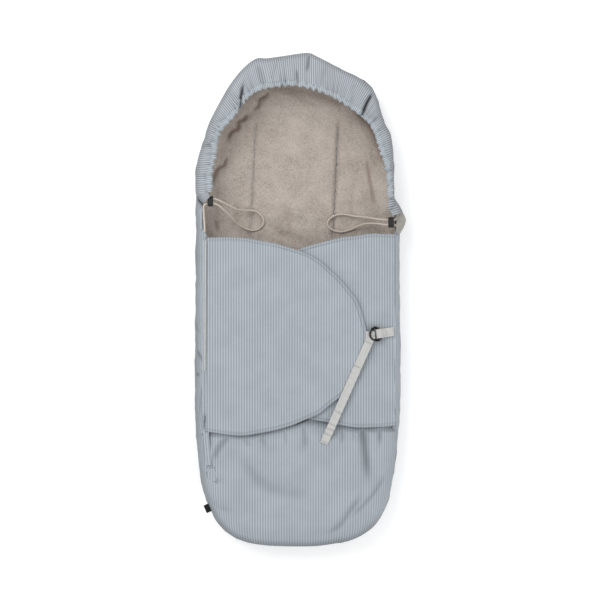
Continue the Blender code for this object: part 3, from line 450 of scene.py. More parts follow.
def swept(path: Array, profile: Array, closed: bool = False) -> Array:
    """Rows of points that carry a profile along a path.

    Args:
        path: Points of the middle line.
        profile: (side, height) for each corner.
        closed: Whether the path's end joins its start.

    Returns:
        A grid, one row for each point of the path, its first corner repeated at its end. Each point is the
        path's point, plus side times (along cross up), plus height times (that side cross along).
    """
    along = np.roll(path, -1, axis=0) - np.roll(path, 1, axis=0) if closed else np.gradient(path, axis=0)
    along = along / norm(along, axis=1)[:, None]
    side = np.cross(along, UP)
    side = side / norm(side, axis=1)[:, None]
    lift = np.cross(side, along)
    profile = np.concatenate([profile, profile[:1]])
    rows = path[:, None] + side[:, None] * profile[:, :1] + lift[:, None] * profile[:, 1:]
    return np.concatenate([rows, rows[:1]]) if closed else rows


def tube(name: str, rows: Array, finish: "Finish", body: str = "quilt", **layers: Array) -> Object:
    """A swept form whose two ends are drawn to their middles, so that it closes there.

    Args:
        name: The piece's name.
        rows: The profile's points along the path, each row closed on itself.
        finish: What it is made of.
        body: The CAD body that it moves with.
        layers: As for loft; cloth is measured along the form where it isn't given.

    Returns:
        The finished object.
    """
    first, last = (np.broadcast_to(row[:-1].mean(axis=0), row.shape)[None] for row in (rows[0], rows[-1]))
    layers = {"cloth": measured(rows)} | layers
    layers = {key: np.concatenate([layer[:1], layer, layer[-1:]]) for key, layer in layers.items()}
    return loft(name, np.concatenate([first, rows, last]), finish, body, **layers)


def ribbon(path: Array, across: Array, width: float, thickness: float) -> Array:
    """A flat band along a path: its width along one level direction, its thickness at right angles to both.

    Args:
        path: Points of the middle line.
        across: The level direction, of any length.
        width: The band's width.
        thickness: The band's thickness.

    Returns:
        A grid, one closed row for each point of the path.
    """
    along = np.gradient(path, axis=0)
    along /= norm(along, axis=1)[:, None]
    side = np.broadcast_to(across / norm(across), path.shape)
    profile = band(width, thickness)
    profile = np.concatenate([profile, profile[:1]])
    return path[:, None] + side[:, None] * profile[:, :1] + np.cross(along, side)[:, None] * profile[:, 1:]


def circle(radius: float, count: int) -> Array:
    """(side, height) of points round a circle: its radius times the cosine and sine of their turns."""
    turn = np.arange(count) * TURN / count
    return radius * np.stack([np.cos(turn), np.sin(turn)], axis=1)


def band(width: float, thickness: float) -> Array:
    """The profile of flat webbing, a bar with round corners: cosine and sine of the turn to a small power.

    Args:
        width: Its whole width.
        thickness: Its whole thickness.

    Returns:
        (side, height) of its corners.
    """
    turn = np.linspace(0, TURN, BAND_CORNERS, endpoint=False) + math.pi / BAND_CORNERS
    wave = np.stack([np.cos(turn), np.sin(turn)], axis=1)
    shape = np.sign(wave) * np.abs(wave) ** BAND_POWER
    return shape * (width / 2, thickness / 2)


def measured(rows: Array) -> Array:
    """(u, v) of a swept form, in metres: the distances round its middle profile and along its middle line."""
    around, along = travelled(rows[len(rows) // 2]), travelled(rows.mean(axis=1))
    return np.stack(np.broadcast_arrays(around[None], along[:, None]), axis=-1)


class Graph:
    """A short way to write shader nodes in one tree."""

    def __init__(self, tree: Tree) -> None:
        """Works in this tree."""
        self.tree = tree

    def node(self, kind: str, inputs: dict | None = None, **settings: object) -> Node:
        """A new node.

        Args:
            kind: The node's type.
            inputs: Sockets or values for its inputs, by name or number.
            settings: Values for its properties.

        Returns:
            The node.
        """
        made = self.tree.nodes.new(kind)
        for key, value in settings.items():
            setattr(made, key, value)
        for key, value in (inputs or {}).items():
            self.feed(made.inputs[key], value)
        return made

    def feed(self, socket: Socket, value: object) -> None:
        """Links a socket to an input, or sets the input's value.

        Args:
            socket: The input.
            value: Another node's output, or a value.
        """
        if isinstance(value, Socket):
            self.tree.links.new(value, socket)
        else:
            socket.default_value = value

    def math(self, operation: str, *values: object, clamp: bool = False) -> Socket:
        """One step of arithmetic, kept from 0 to 1 where it is clamped."""
        made = self.node("ShaderNodeMath", dict(enumerate(values)), operation=operation, use_clamp=clamp)
        return made.outputs[0]

    def blend(self, share: object, first: object, second: object, how: str = "MIX") -> Socket:
        """Two colours mixed by a share."""
        made = self.node("ShaderNodeMix", {0: share, 6: first, 7: second}, data_type="RGBA", blend_type=how)
        return made.outputs[2]

    def noise(self, place: object, scale: float, detail: float = 2.0) -> Socket:
        """Noise from 0 to 1."""
        made = self.node("ShaderNodeTexNoise", {"Vector": place, "Scale": scale, "Detail": detail})
        return made.outputs["Fac"]

    def span(self, value: object, low: float, high: float, to_low: float, to_high: float) -> Socket:
        """A value brought smoothly from one range to another."""
        inputs = dict(enumerate((value, low, high, to_low, to_high)))
        return self.node("ShaderNodeMapRange", inputs, interpolation_type="SMOOTHSTEP").outputs[0]


SOCKETS = {
    "NodeSocketVector": ("Cloth", "Place"),
    "NodeSocketColor": ("Color", "Light", "Dark", "Shadow", "Plain", "Rubbed"),
    "NodeSocketFloat": ("Height", "Roughness", "Shade", "Period", "Thread", "Gloss"),
}


def effect(name: str, inputs: tuple[str, ...], *more: str) -> tuple[Tree, Graph, dict, dict]:
    """A new node group that gives a colour and a height.

    Args:
        name: The group's name.
        inputs: Names of its inputs.
        more: Names of further outputs.

    Returns:
        The group, its graph, its input sockets by name, and the inputs of its output node by name.
    """
    tree = bpy.data.node_groups.new(name, "ShaderNodeTree")
    outputs = ("Color", *more, "Height")
    kinds = {key: kind for kind, names in SOCKETS.items() for key in names}
    for names, way in ((inputs, "INPUT"), (outputs, "OUTPUT")):
        for key in names:
            tree.interface.new_socket(name=key, in_out=way, socket_type=kinds[key])
    graph = Graph(tree)
    given, result = graph.node("NodeGroupInput"), graph.node("NodeGroupOutput")
    return tree, graph, {k: given.outputs[k] for k in inputs}, {k: result.inputs[k] for k in outputs}


class Effect(Enum):
    """The node groups that finishes share."""

    STRIPES = "woven stripes"
    PILE = "curled pile"
    WEAVE = "plain weave"
    BRAID = "cord braid"
    HANDLED = "handled surface"

    def tree(self) -> Tree:
        """The group, built the first time it is asked for."""
        found = bpy.data.node_groups.get(self.value)
        return found or getattr(self, f"_{self.name.lower()}")()

    def _stripes(self) -> Tree:
        """Stripes along v: a sine of u over the period, sharpened, with a fine over and under weave on top.

        Returns:
            The group.
        """
        tree, g, given, result = effect(self.value, ("Cloth", "Shade", "Light", "Dark", "Period"))
        parts = g.node("ShaderNodeSeparateXYZ", {0: given["Cloth"]})
        u, v = parts.outputs[0], parts.outputs[1]
        uneven = g.math("MULTIPLY", g.math("SUBTRACT", g.noise(given["Cloth"], 30.0), 0.5), 0.5 * MM)
        turn = g.math("DIVIDE", g.math("ADD", u, uneven), given["Period"])
        wave = g.math("SINE", g.math("MULTIPLY", turn, TURN))
        stripe = g.span(wave, -0.45, 0.45, 0.0, 1.0)
        threads = [g.math("SINE", g.math("MULTIPLY", way, TURN / (0.7 * MM))) for way in (u, v)]
        weave = g.math("MULTIPLY", *threads)
        colour = g.blend(stripe, given["Dark"], given["Light"])
        tone = g.span(g.noise(given["Cloth"], 22.0, 3.0), 0.3, 0.7, 0.955, 1.035)
        tone = g.math("MULTIPLY", tone, g.math("MULTIPLY_ADD", weave, 0.03, 1.0))
        tone = g.math("MULTIPLY", tone, g.math("SUBTRACT", 1.0, given["Shade"]))
        grey = g.node("ShaderNodeCombineColor", {0: tone, 1: tone, 2: tone}).outputs[0]
        g.feed(result["Color"], g.blend(1.0, colour, grey, "MULTIPLY"))
        g.feed(result["Height"], g.math("MULTIPLY_ADD", weave, 0.4, stripe))
        return tree

    def _pile(self) -> Tree:
        """Curls of pile: cells and noise at the size of a tuft, over broad light and dark patches.

        Returns:
            The group.
        """
        tree, g, given, result = effect(self.value, ("Place", "Shade", "Light", "Dark", "Shadow"))
        place = given["Place"]
        fine = g.noise(place, 620.0, 4.0)
        cells = g.node("ShaderNodeTexVoronoi", {"Vector": place, "Scale": 480.0}, feature="SMOOTH_F1")
        curl = g.math("SUBTRACT", fine, g.math("MULTIPLY", cells.outputs[0], 0.6))
        broad = g.noise(place, 34.0, 4.0)
        curled = g.span(curl, -0.15, 0.5, 0.0, 1.0)
        share = g.math("MULTIPLY_ADD", g.math("SUBTRACT", broad, 0.5), 1.3, curled, clamp=True)
        colour = g.blend(share, given["Dark"], given["Light"])
        g.feed(result["Color"], g.blend(given["Shade"], colour, given["Shadow"]))
        g.feed(result["Height"], g.math("MULTIPLY_ADD", broad, 0.8, curl))
        return tree

    def _weave(self) -> Tree:
        """Plain weave: the product of sines of u and v over the thread, with slow changes of tone.

        Returns:
            The group.
        """
        tree, g, given, result = effect(self.value, ("Cloth", "Shade", "Light", "Dark", "Thread"))
        parts = g.node("ShaderNodeSeparateXYZ", {0: given["Cloth"]})
        turns = g.math("DIVIDE", TURN, given["Thread"])
        ribs = [g.math("SINE", g.math("MULTIPLY", parts.outputs[k], turns)) for k in (0, 1)]
        weave = g.math("MULTIPLY_ADD", g.math("MULTIPLY", *ribs), 0.5, 0.5)
        slow = g.noise(given["Cloth"], 120.0, 3.0)
        share = g.math("MULTIPLY_ADD", g.math("SUBTRACT", slow, 0.5), 1.0, weave, clamp=True)
        colour = g.blend(share, given["Dark"], given["Light"])
        g.feed(result["Color"], g.blend(given["Shade"], colour, SEAM_SHADOW))
        g.feed(result["Height"], weave)
        return tree

    def _braid(self) -> Tree:
        """Braided cord: two crossing sets of diagonal strands, the higher of their two sines.

        Returns:
            The group.
        """
        tree, g, given, result = effect(self.value, ("Cloth", "Light", "Dark"))
        parts = g.node("ShaderNodeSeparateXYZ", {0: given["Cloth"]})
        lengths = (2.0 * MM, 2.6 * MM)
        u, v = (g.math("MULTIPLY", parts.outputs[k], TURN / lengths[k]) for k in (0, 1))
        strands = [g.math("SINE", g.math(way, u, v)) for way in ("ADD", "SUBTRACT")]
        height = g.math("MULTIPLY_ADD", g.math("MAXIMUM", *strands), 0.5, 0.5)
        g.feed(result["Color"], g.blend(height, given["Dark"], given["Light"]))
        g.feed(result["Height"], height)
        return tree

    def _handled(self) -> Tree:
        """Moulded or plated parts: fine grain, and rubbed patches that are lighter and rougher.

        Returns:
            The group.
        """
        tree, g, given, result = effect(self.value, ("Place", "Plain", "Rubbed", "Gloss"), "Roughness")
        patches = g.span(g.noise(given["Place"], 190.0, 3.0), 0.5, 0.72, 0.0, 1.0)
        g.feed(result["Color"], g.blend(patches, given["Plain"], given["Rubbed"]))
        g.feed(result["Roughness"], g.math("MULTIPLY_ADD", patches, 0.16, given["Gloss"]))
        g.feed(result["Height"], g.noise(given["Place"], 2600.0))
        return tree


@dataclass(frozen=True)
class Finish:
    """A material: its effect, with the values that this finish gives to it and to the shader."""

    name: str
    effect: Effect
    values: tuple[tuple[str, object], ...]
    roughness: float = 0.85
    sheen: float = 0.0
    metallic: float = 0.0
    bump: float = 0.3
    relief: float = 0.4  # height of the bump in millimetres

    def material(self) -> bpy.types.Material:
        """The material, built the first time it is asked for.

        Returns:
            The material, with its effect linked to the shader's colour and normal.
        """
        found = bpy.data.materials.get(self.name)
        if found:
            return found
        made = bpy.data.materials.new(self.name)
        made.use_nodes = True
        g = Graph(made.node_tree)
        shader = made.node_tree.nodes["Principled BSDF"]
        group = g.node("ShaderNodeGroup", node_tree=self.effect.tree())
        for key, value in self.values:
            group.inputs[key].default_value = value
        for key, kind, settings, output in (
            ("Cloth", "ShaderNodeUVMap", {"uv_map": "cloth"}, 0),
            ("Place", "ShaderNodeTexCoord", {}, "Object"),
            ("Shade", "ShaderNodeAttribute", {"attribute_name": "shade"}, "Fac"),
        ):
            if key in group.inputs:
                g.feed(group.inputs[key], g.node(kind, **settings).outputs[output])
        g.feed(shader.inputs["Base Color"], group.outputs["Color"])
        relief = {"Height": group.outputs["Height"], "Strength": self.bump, "Distance": self.relief * MM}
        g.feed(shader.inputs["Normal"], g.node("ShaderNodeBump", relief).outputs[0])
        shader.inputs["Roughness"].default_value = self.roughness
        shader.inputs["Metallic"].default_value = self.metallic
        shader.inputs["Sheen Weight"].default_value = self.sheen
        shader.inputs["Sheen Roughness"].default_value = SHEEN_ROUGHNESS
        if "Roughness" in group.outputs:
            g.feed(shader.inputs["Roughness"], group.outputs["Roughness"])
        else:
            shader.inputs["Specular IOR Level"].default_value = CLOTH_SPECULAR
        return made


def rgb(red: float, green: float, blue: float) -> tuple[float, float, float, float]:
    """An opaque colour from linear shares."""
    return (red, green, blue, 1.0)


STRIPED = Finish(
    "body_stripes", Effect.STRIPES,
    (("Light", rgb(0.413, 0.451, 0.488)), ("Dark", rgb(0.280, 0.315, 0.348)), ("Period", 5.05 * MM)),
    roughness=0.8, sheen=0.03, bump=0.25, relief=0.12,
)
HOOD_STRIPED = replace(
    STRIPED, name="hood_stripes",
    values=(("Light", rgb(0.445, 0.47, 0.502)), ("Dark", rgb(0.242, 0.266, 0.296)), ("Period", 4.3 * MM)),
)
CHANNEL_STRIPED = replace(
    STRIPED, name="channel_stripes",
    values=(("Light", rgb(0.47, 0.51, 0.54)), ("Dark", rgb(0.285, 0.325, 0.36)), ("Period", 4.3 * MM)),
)
PILE = Finish(
    "teddy_pile", Effect.PILE,
    (
        ("Light", rgb(0.592, 0.535, 0.484)), ("Dark", rgb(0.362, 0.320, 0.284)),
        ("Shadow", rgb(0.165, 0.105, 0.080)),
    ),
    roughness=0.95, sheen=0.12, bump=0.7, relief=1.2,
)
WEBBING = Finish(
    "pale_webbing", Effect.WEAVE,
    (("Light", rgb(0.59, 0.59, 0.58)), ("Dark", rgb(0.42, 0.42, 0.415)), ("Thread", 1.5 * MM)),
    roughness=0.75, bump=0.5, relief=0.25,
)
FACING = Finish(
    "greige_facing", Effect.WEAVE,
    (("Light", rgb(0.40, 0.39, 0.35)), ("Dark", rgb(0.28, 0.27, 0.245)), ("Thread", 1.1 * MM)),
    relief=0.15,
)
BLUE_FACING = replace(
    FACING, name="blue_facing",
    values=(("Light", rgb(0.36, 0.395, 0.42)), ("Dark", rgb(0.25, 0.28, 0.30)), ("Thread", 1.1 * MM)),
)
LABEL_CLOTH = Finish(
    "label_ribbon", Effect.WEAVE,
    (("Light", rgb(0.012, 0.012, 0.013)), ("Dark", rgb(0.006, 0.006, 0.007)), ("Thread", 0.8 * MM)),
    roughness=0.6, bump=0.4, relief=0.1,
)
CORD_BRAID = Finish(
    "beige_cord", Effect.BRAID,
    (("Light", rgb(0.66, 0.585, 0.515)), ("Dark", rgb(0.40, 0.345, 0.295))),
    roughness=0.8, bump=0.7,
)
BLACK_PLASTIC = Finish(
    "moulded_black", Effect.HANDLED,
    (("Plain", rgb(0.004, 0.004, 0.0045)), ("Rubbed", rgb(0.014, 0.013, 0.013)), ("Gloss", 0.5)),
    bump=0.15, relief=0.05,
)
PAINTED_METAL = Finish(
    "painted_metal", Effect.HANDLED,
    (("Plain", rgb(0.27, 0.30, 0.325)), ("Rubbed", rgb(0.34, 0.365, 0.385)), ("Gloss", 0.4)),
    bump=0.1, relief=0.03,
)
GUNMETAL = Finish(
    "gunmetal", Effect.HANDLED,
    (("Plain", rgb(0.018, 0.017, 0.017)), ("Rubbed", rgb(0.10, 0.095, 0.09)), ("Gloss", 0.24)),
    metallic=1.0, bump=0.1, relief=0.03,
)


@dataclass
class Studio:
    """The camera straight above, the pale floor and the soft light."""

    lens: float = 150.0
    sensor: float = 36.0
    seen: float = 1.152  # metres across the picture at the object's height
    middle: Pair = (0.0038, -0.0005)
    focus_height: float = 0.05
    farthest: float = 50.0
    lamps: tuple[tuple[str, Triple, float, float], ...] = (  # name, place, size and watts
        ("key_light", (-1.3, 1.5, 2.6), 2.2, 40.0),
        ("fill_light", (1.6, -1.2, 2.4), 2.4, 14.0),
    )
    sky: float = 0.78
    floor_half: float = 4.0
    floor_drop: float = 0.0002
    floor_grey: float = 0.96
    floor_glow: float = 0.2  # a little light of its own, so that shadows on it stay faint

    def build(self) -> None:
        """Camera, floor, lamps and world."""
        scene = bpy.context.scene
        data = bpy.data.cameras.new("camera")
        data.lens, data.sensor_width, data.clip_end = self.lens, self.sensor, self.farthest
        camera = bpy.data.objects.new("camera", data)
        camera.location = (*self.middle, self.focus_height + self.seen * self.lens / self.sensor)
        scene.collection.objects.link(camera)
        scene.camera = camera
        self.floor()
        for name, place, size, power in self.lamps:
            light = bpy.data.lights.new(name, "AREA")
            light.shape, light.size, light.energy = "DISK", size, power
            lamp = bpy.data.objects.new(name, light)
            lamp.matrix_world = Matrix.LocRotScale(place, (-Vector(place)).to_track_quat("-Z", "Y"), None)
            scene.collection.objects.link(lamp)
        world = bpy.data.worlds.new("studio")
        world.use_nodes = True
        background = world.node_tree.nodes["Background"]
        background.inputs[0].default_value = (1.0, 1.0, 1.0, 1.0)
        background.inputs[1].default_value = self.sky
        scene.world = world
        scene.view_settings.view_transform = "Standard"

    def floor(self) -> None:
        """A plain pale floor just below the object."""
        half, z = self.floor_half, -self.floor_drop
        mesh = bpy.data.meshes.new("floor")
        corners = [(-half, -half, z), (half, -half, z), (half, half, z), (-half, half, z)]
        mesh.from_pydata(corners, [], [(0, 1, 2, 3)])
        obj = bpy.data.objects.new("floor", mesh)
        bpy.context.scene.collection.objects.link(obj)
        material = bpy.data.materials.new("pale_floor")
        material.use_nodes = True
        shader = material.node_tree.nodes["Principled BSDF"]
        for socket, value in (
            ("Base Color", rgb(self.floor_grey, self.floor_grey, self.floor_grey)), ("Roughness", 1.0),
            ("Specular IOR Level", 0.0), ("Emission Color", rgb(1.0, 1.0, 1.0)),
            ("Emission Strength", self.floor_glow),
        ):
            shader.inputs[socket].default_value = value
        mesh.materials.append(material)


@dataclass
class HoodCords:
    """The drawcord's two free stretches: out of the channel, twice through a lock and back under the flap."""

    radius: float = 0.0019
    sides: int = 12
    spans: int = 8

    def build(self) -> None:
        """Both cords as braided tubes: a circle carried along the curve through each route's points."""
        for side, route in (("left", LEFT_CORD), ("right", RIGHT_CORD)):
            path = spline(np.array(route), self.spans)
            rows = swept(path, circle(self.radius, self.sides))
            piece = tube(f"{side}_hood_cord", rows, CORD_BRAID)
            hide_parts(f"cord_{side}")
            float(travelled(path)[-1])


class Outline:
    """The footmuff's edge seen from above, with its inward directions, read by the distance along it."""

    def __init__(self, samples: int = 1600, reach: float = 0.032, spans: int = 12) -> None:
        """Smooths the tables of shares into evenly spaced points, fitted to the full size.

        Args:
            samples: Points round the edge.
            reach: Half of the stretch that each inward direction is taken over, in metres.
            spans: Pieces between two neighbouring points of the tables.
        """
        curve = spline(np.array(RIGHT_SIDE + HOOD_FOOT + LEFT_SIDE) * HALVES, spans, closed=True)
        low, high = curve.min(axis=0), curve.max(axis=0)
        curve = (curve - (low + high) / 2) * (2 * HALF_WIDTH, 2 * HALF_LENGTH) / (high - low)
        curve = resampled(np.vstack([curve, curve[:1]]), samples + 1)
        self.length = float(travelled(curve)[-1])
        self.points = curve[:-1]
        self.along = np.linspace(0, self.length, samples, endpoint=False)
        steps = round(reach * samples / self.length)
        tangent = np.roll(self.points, -steps, axis=0) - np.roll(self.points, steps, axis=0)
        self.inward = np.stack([-tangent[:, 1], tangent[:, 0]], axis=1)
        self.head = float(self.along[self.points[:, 1].argmax()])

    def at(self, along: Array) -> tuple[Array, Array]:
        """The edge at some distances along it.

        Args:
            along: Distances from the first point, in metres.

        Returns:
            Points, and unit directions that face inward.
        """
        found = [
            np.stack([np.interp(along, self.along, table[:, k], period=self.length) for k in (0, 1)], axis=1)
            for table in (self.points, self.inward)
        ]
        return found[0], found[1] / norm(found[1], axis=1)[:, None]

    def distance_at(self, side: int, y: float) -> float:
        """Where the edge passes a place along Y.

        Args:
            side: -1 for its left side, 1 for its right.
            y: The place.

        Returns:
            The distance along it.
        """
        ours = self.points[:, 0] * side > 0
        order = np.argsort(self.points[ours, 1])
        return float(np.interp(y, self.points[ours, 1][order], self.along[ours][order]))


@dataclass
class Quilt:
    """The padded back and side walls: striped cover outside, pile lining inside, slots for the harness."""

    outline: Outline
    half_stations: int = 230
    spine_foot: float = -0.285
    spine_head: float = 0.285
    side_depths: Triple = (0.0, 0.0076, 0.0104)
    floor_depths: Triple = (0.0, 0.0132, 0.0182)
    layer_gap: float = 0.0002
    cover_rows: tuple[int, int] = (10, 44)  # over the floor, then up the side
    cover_stop: float = 0.004  # how far below the rim its skins end
    cover_free: Pair = (0.004, 0.012)  # where its puckers start, and over what height they grow
    puckers: tuple[Bumps, ...] = (Bumps(0.06, 0.7, 3), Bumps(0.018, 0.4, 4))
    rim_turns: int = 9
    # painted shade on the cover: darker towards the outline over rim_dark_width, less on the lit side, and
    # darker over the left side
    rim_cloth: float = 0.012
    rim_dark: float = 0.32
    rim_lit: float = 0.2  # how much less of it the lit side has
    rim_dark_width: float = 0.014
    left_dark: float = 0.06
    darkest: float = 0.8
    lining_rows: tuple[int, int] = (90, 40)
    lining_stop: float = 0.003
    tufts: tuple[Bumps, ...] = (Bumps(0.011, 0.45, 8), Bumps(0.034, 0.9, 9))
    deepest: float = 3.6 * MM
    rim_free: float = 0.01  # the tufts fade out over this distance below the rim
    # painted shade over the bed's middle
    bed_dark: float = 0.19
    slits: tuple[float, ...] = (-0.44 * HALF_WIDTH, 0.366 * HALF_WIDTH)
    slit_ends: Pair = (0.262 * HALF_LENGTH, 0.715 * HALF_LENGTH)
    slant: float = 0.046  # how far the slots lean towards the right for each metre towards the head
    slit_dip: float = 1.8 * MM
    slit_dip_width: float = 0.0040
    slit_dark: Pair = (0.22, 0.2)  # painted shade along each slot, and more along the right one
    cover_slits: Pair = (3.6 * MM, 3.6 * MM)  # half widths of both slots
    lining_slits: Pair = (0.6 * MM, 1.0 * MM)
    slit_uneven: float = 0.45 * MM
    sleeve: Flat = (  # height and half width of a slot's facing
        (0.0008, 0.0031), (0.0050, 0.0030), (0.0095, 0.0024), (0.0122, 0.0014), (0.0130, 0.0010),
    )
    sleeve_thickness: float = 0.0006
    bed_folds: tuple[Fold, ...] = (
        Fold(((212, 219), (215.3, 224), (217.4, 234)), 3.4, 3.6, 0.35),
        Fold(((262, 214), (272, 226), (290, 238), (304, 241)), 7.0, 2.6, 0.12),
        Fold(((286, 205), (289, 222), (296, 240)), 8.0, 2.0, 0.1),
        Fold(((232, 190), (236, 214), (232, 236)), 6.0, 2.2, 0.15),
        Fold(((356, 176), (352, 204), (357, 230)), 6.0, 2.2, 0.1),
        Fold(
            ((269, 89), (266, 94), (260, 98), (258, 105), (253, 109), (251, 116)),
            4.5, 2.4, 0.7, (0.1, 0.4),
        ),
        Fold(
            ((248, 110), (244, 118), (238, 121), (238, 127), (231, 131), (228, 138), (231, 145)),
            5.0, 3.2, 0.95, (0.15, 0.3),
        ),
        Fold(
            ((231, 153), (226, 158), (223, 165), (217, 168), (213, 178), (213, 190)),
            5.0, 2.6, 0.75, (0.2, 0.3),
        ),
        Fold(
            ((258, 97), (268, 91), (281, 89), (296, 89.5), (312, 92.5), (328, 98.5), (345, 108),
             (358, 119)),
            9.0, 0.4, 0.3, (0.2, 0.3),
        ),
        Fold(((350, 104), (365, 118), (376, 137), (382, 158), (386, 178)), 8.0, 2.0, 0.62, (0.15, 0.3)),
        Fold(((366, 150), (370, 176), (374, 196), (382, 214)), 4.5, 2.0, 0.4, (0.25, 0.3)),
        Fold(((300, 120), (296, 160), (302, 190)), 14.0, -2.0),
    )
    wall_folds: tuple[Fold, ...] = (
        Fold(((196, 347), (201, 357), (206, 367)), 3.2, 1.6, 0.4),
        Fold(((196, 376), (200, 373), (206, 372)), 2.6, 1.4, 0.45, (0.2, 0.2)),
        Fold(((205, 374), (202.5, 388), (201, 402), (200.5, 424)), 2.2, 1.0, 0.3, (0.4, 0.4)),
        Fold(((196, 322), (199, 330), (204, 334)), 2.6, 1.0, 0.2),
        Fold(((201, 432), (202, 446), (204, 462), (206, 478)), 2.4, 1.4, 0.45),
    )

    def __post_init__(self) -> None:
        """Stations from the foot's tip up the right side and down the left, and their spine points."""
        head = self.outline.head
        share = np.linspace(0, 1, self.half_stations)
        self.along = np.concatenate([share * head, head + share[1:] * (self.outline.length - head)])
        self.points, self.inward = self.outline.at(self.along)
        spine = np.concatenate([share, share[::-1][1:]])
        spine = self.spine_foot + (self.spine_head - self.spine_foot) * spine
        self.spine = np.stack([np.zeros(len(spine)), spine], axis=1)
        right, left = (lambda y, side=side: self.outline.distance_at(side, y) for side in (1, -1))
        bounds = (
            (0.0, SIDE_RADIUS, 0), (right(RIGHT_SEAM_FOOT), RIGHT_SEAM, 1),
            (right(SEAM_HEAD), RIGHT_LOCK_RIM, 0), (right(RIGHT_HOOD_END), SIDE_RADIUS, 0),
            (left(LEFT_HOOD_END), LEFT_LOCK_LINE, 1), (left(SEAM_HEAD), LEFT_SEAM, 1),
            (left(LEFT_SEAM_FOOT), SIDE_RADIUS, 0),
        )
        region = np.searchsorted([b[0] for b in bounds], self.along, side="right") - 1
        self.value = np.array([b[1] for b in bounds])[region]
        self.on_line = np.array([b[2] for b in bounds])[region] == 1

    def top_angle(self, depth: float) -> Array:
        """How far round the side radius the wall reaches, softened between neighbours.

        Where the wall ends at a line, it is the arc cosine of what is left of the radius there, and where it
        ends at a height, the arc sine of the height above the radius.

        Args:
            depth: Depth in the quilt.

        Returns:
            An angle for each station, 0 at the widest line.
        """
        radius = SIDE_RADIUS - depth
        inset = (np.abs(self.points[:, 0]) - self.value) / np.abs(self.inward[:, 0]).clip(0.5)
        by_line = np.arccos(((SIDE_RADIUS - inset) / radius).clip(-1, 1))
        by_height = np.arcsin(((self.value - SIDE_RADIUS) / radius).clip(-1, 1))
        angle = np.where(self.on_line, by_line, by_height)
        kernel = np.hanning(7) / np.hanning(7).sum()
        return np.convolve(np.concatenate([angle[-4:-1], angle, angle[1:4]]), kernel, mode="valid")

    def side(self, angle: Array, depth: float) -> Array:
        """Points on the side: the radius less the depth, turned by the angle, gives inset and height.

        Args:
            angle: For each station, 0 at the widest line.
            depth: Depth in the quilt.

        Returns:
            One point for each station.
        """
        radius = SIDE_RADIUS - depth
        flat = self.points + self.inward * (SIDE_RADIUS - radius * np.cos(angle))[:, None]
        return np.column_stack([flat, SIDE_RADIUS + radius * np.sin(angle)])

    def skin(self, side: float, floor: float, counts: tuple[int, int], close: float) -> tuple[Array, Array]:
        """Rows from the spine over the floor and up the side to the rim, with their (u, v).

        Args:
            side: Depth in the quilt at the side.
            floor: Depth in the quilt at the floor.
            counts: Rows on the floor, then on the side.
            close: How far below the rim the last row stops, in metres.

        Returns:
            Points, and (u, v): x and y on the floor, distance round the side and along the edge on the side.
        """
        rows, cloth = [], []
        start = self.points + self.inward * SIDE_RADIUS
        for share in np.linspace(0, 1, counts[0], endpoint=False):
            flat = self.spine * (1 - share) + start * share
            rows.append(np.column_stack([flat, np.full(len(flat), floor)]))
            cloth.append(flat)
        top = self.top_angle(side) - close / SIDE_RADIUS
        for share in np.linspace(-1, 1, counts[1]):
            low = share < 0
            angle = np.full(len(self.along), share * math.pi / 2) if low else top * share
            point = self.side(angle, side)
            if low:
                reach = SIDE_RADIUS - floor - (side - floor) * math.cos(angle[0])
                point[:, 2] = SIDE_RADIUS + reach * np.sin(angle)
            rows.append(point)
            cloth.append(np.stack([SIDE_RADIUS * angle, self.along], axis=1))
        return np.array(rows), np.array(cloth)

    def build(self) -> None:
        """The cover, the lining, and the facings of the harness slots."""
        self.slot(self.cover(), self.cover_slits, 0.0)
        self.slot(self.lining(), self.lining_slits, self.slit_uneven)
        for x, name in zip(self.slits, ("left", "right")):
            self.facing(x, name)

    def cover(self) -> Object:
        """The striped outside, over the thickness of the wadding, with soft puckers between the seams.

        At the rim half a round joins its two skins: their middle, plus half their distance times cos t, plus
        a rise of the same length times sin t.

        Returns:
            The finished object.
        """
        sides, floors = self.side_depths, self.floor_depths
        outer, cloth = self.skin(sides[0], floors[0], self.cover_rows, self.cover_stop)
        inner, _ = self.skin(sides[1], floors[1], self.cover_rows, self.cover_stop)
        flat = outer[..., :2]
        free = np.clip((outer[..., 2] - self.cover_free[0]) / self.cover_free[1], 0, 1)
        out = np.concatenate([self.inward, np.zeros((len(self.inward), 1))], axis=1)
        outer = outer + out[None] * (sum(bumps.at(outer) for bumps in self.puckers) * free)[..., None]
        outer[..., 2] -= sunk(flat, self.wall_folds) * free
        inset = norm(flat - self.points[None], axis=-1)
        lit = lit_side(flat) * fade(flat[..., 1], 0.16, 0.11)
        # painted shade: darker towards the outline and less on the lit side, then more over the left side
        painted_shade = (self.rim_dark - self.rim_lit * lit) * fade(inset, self.rim_dark_width, 0.0)
        painted_shade = painted_shade + self.left_dark * fade(flat[..., 0], 0.0, -0.05)
        shade = np.clip(shaded(flat, self.wall_folds) + painted_shade, 0, self.darkest)
        turn = np.linspace(0, math.pi, self.rim_turns)[1:-1, None, None]
        middle, reach = (outer[-1] + inner[-1]) / 2, (outer[-1] - inner[-1]) / 2
        rise = np.cross(np.gradient(outer[-1], axis=0), reach)
        rise *= np.sign(rise[:, 2:]) / norm(rise, axis=1)[:, None]
        over = middle + reach * np.cos(turn) + rise * norm(reach, axis=1)[:, None] * np.sin(turn)
        rows = np.concatenate([outer, over, inner[::-1]])
        ends = cloth[-1] + np.linspace(0, self.rim_cloth, len(over))[:, None, None] * (1, 0)
        cloth = np.concatenate([cloth, ends, cloth[::-1]])
        shade = np.concatenate([shade, np.repeat(shade[-1:], len(rows) - len(shade), axis=0)])
        piece = loft("quilt_cover", rows, STRIPED, cloth=cloth, shade=shade)
        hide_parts("back_shell", "back_padding")
        return piece

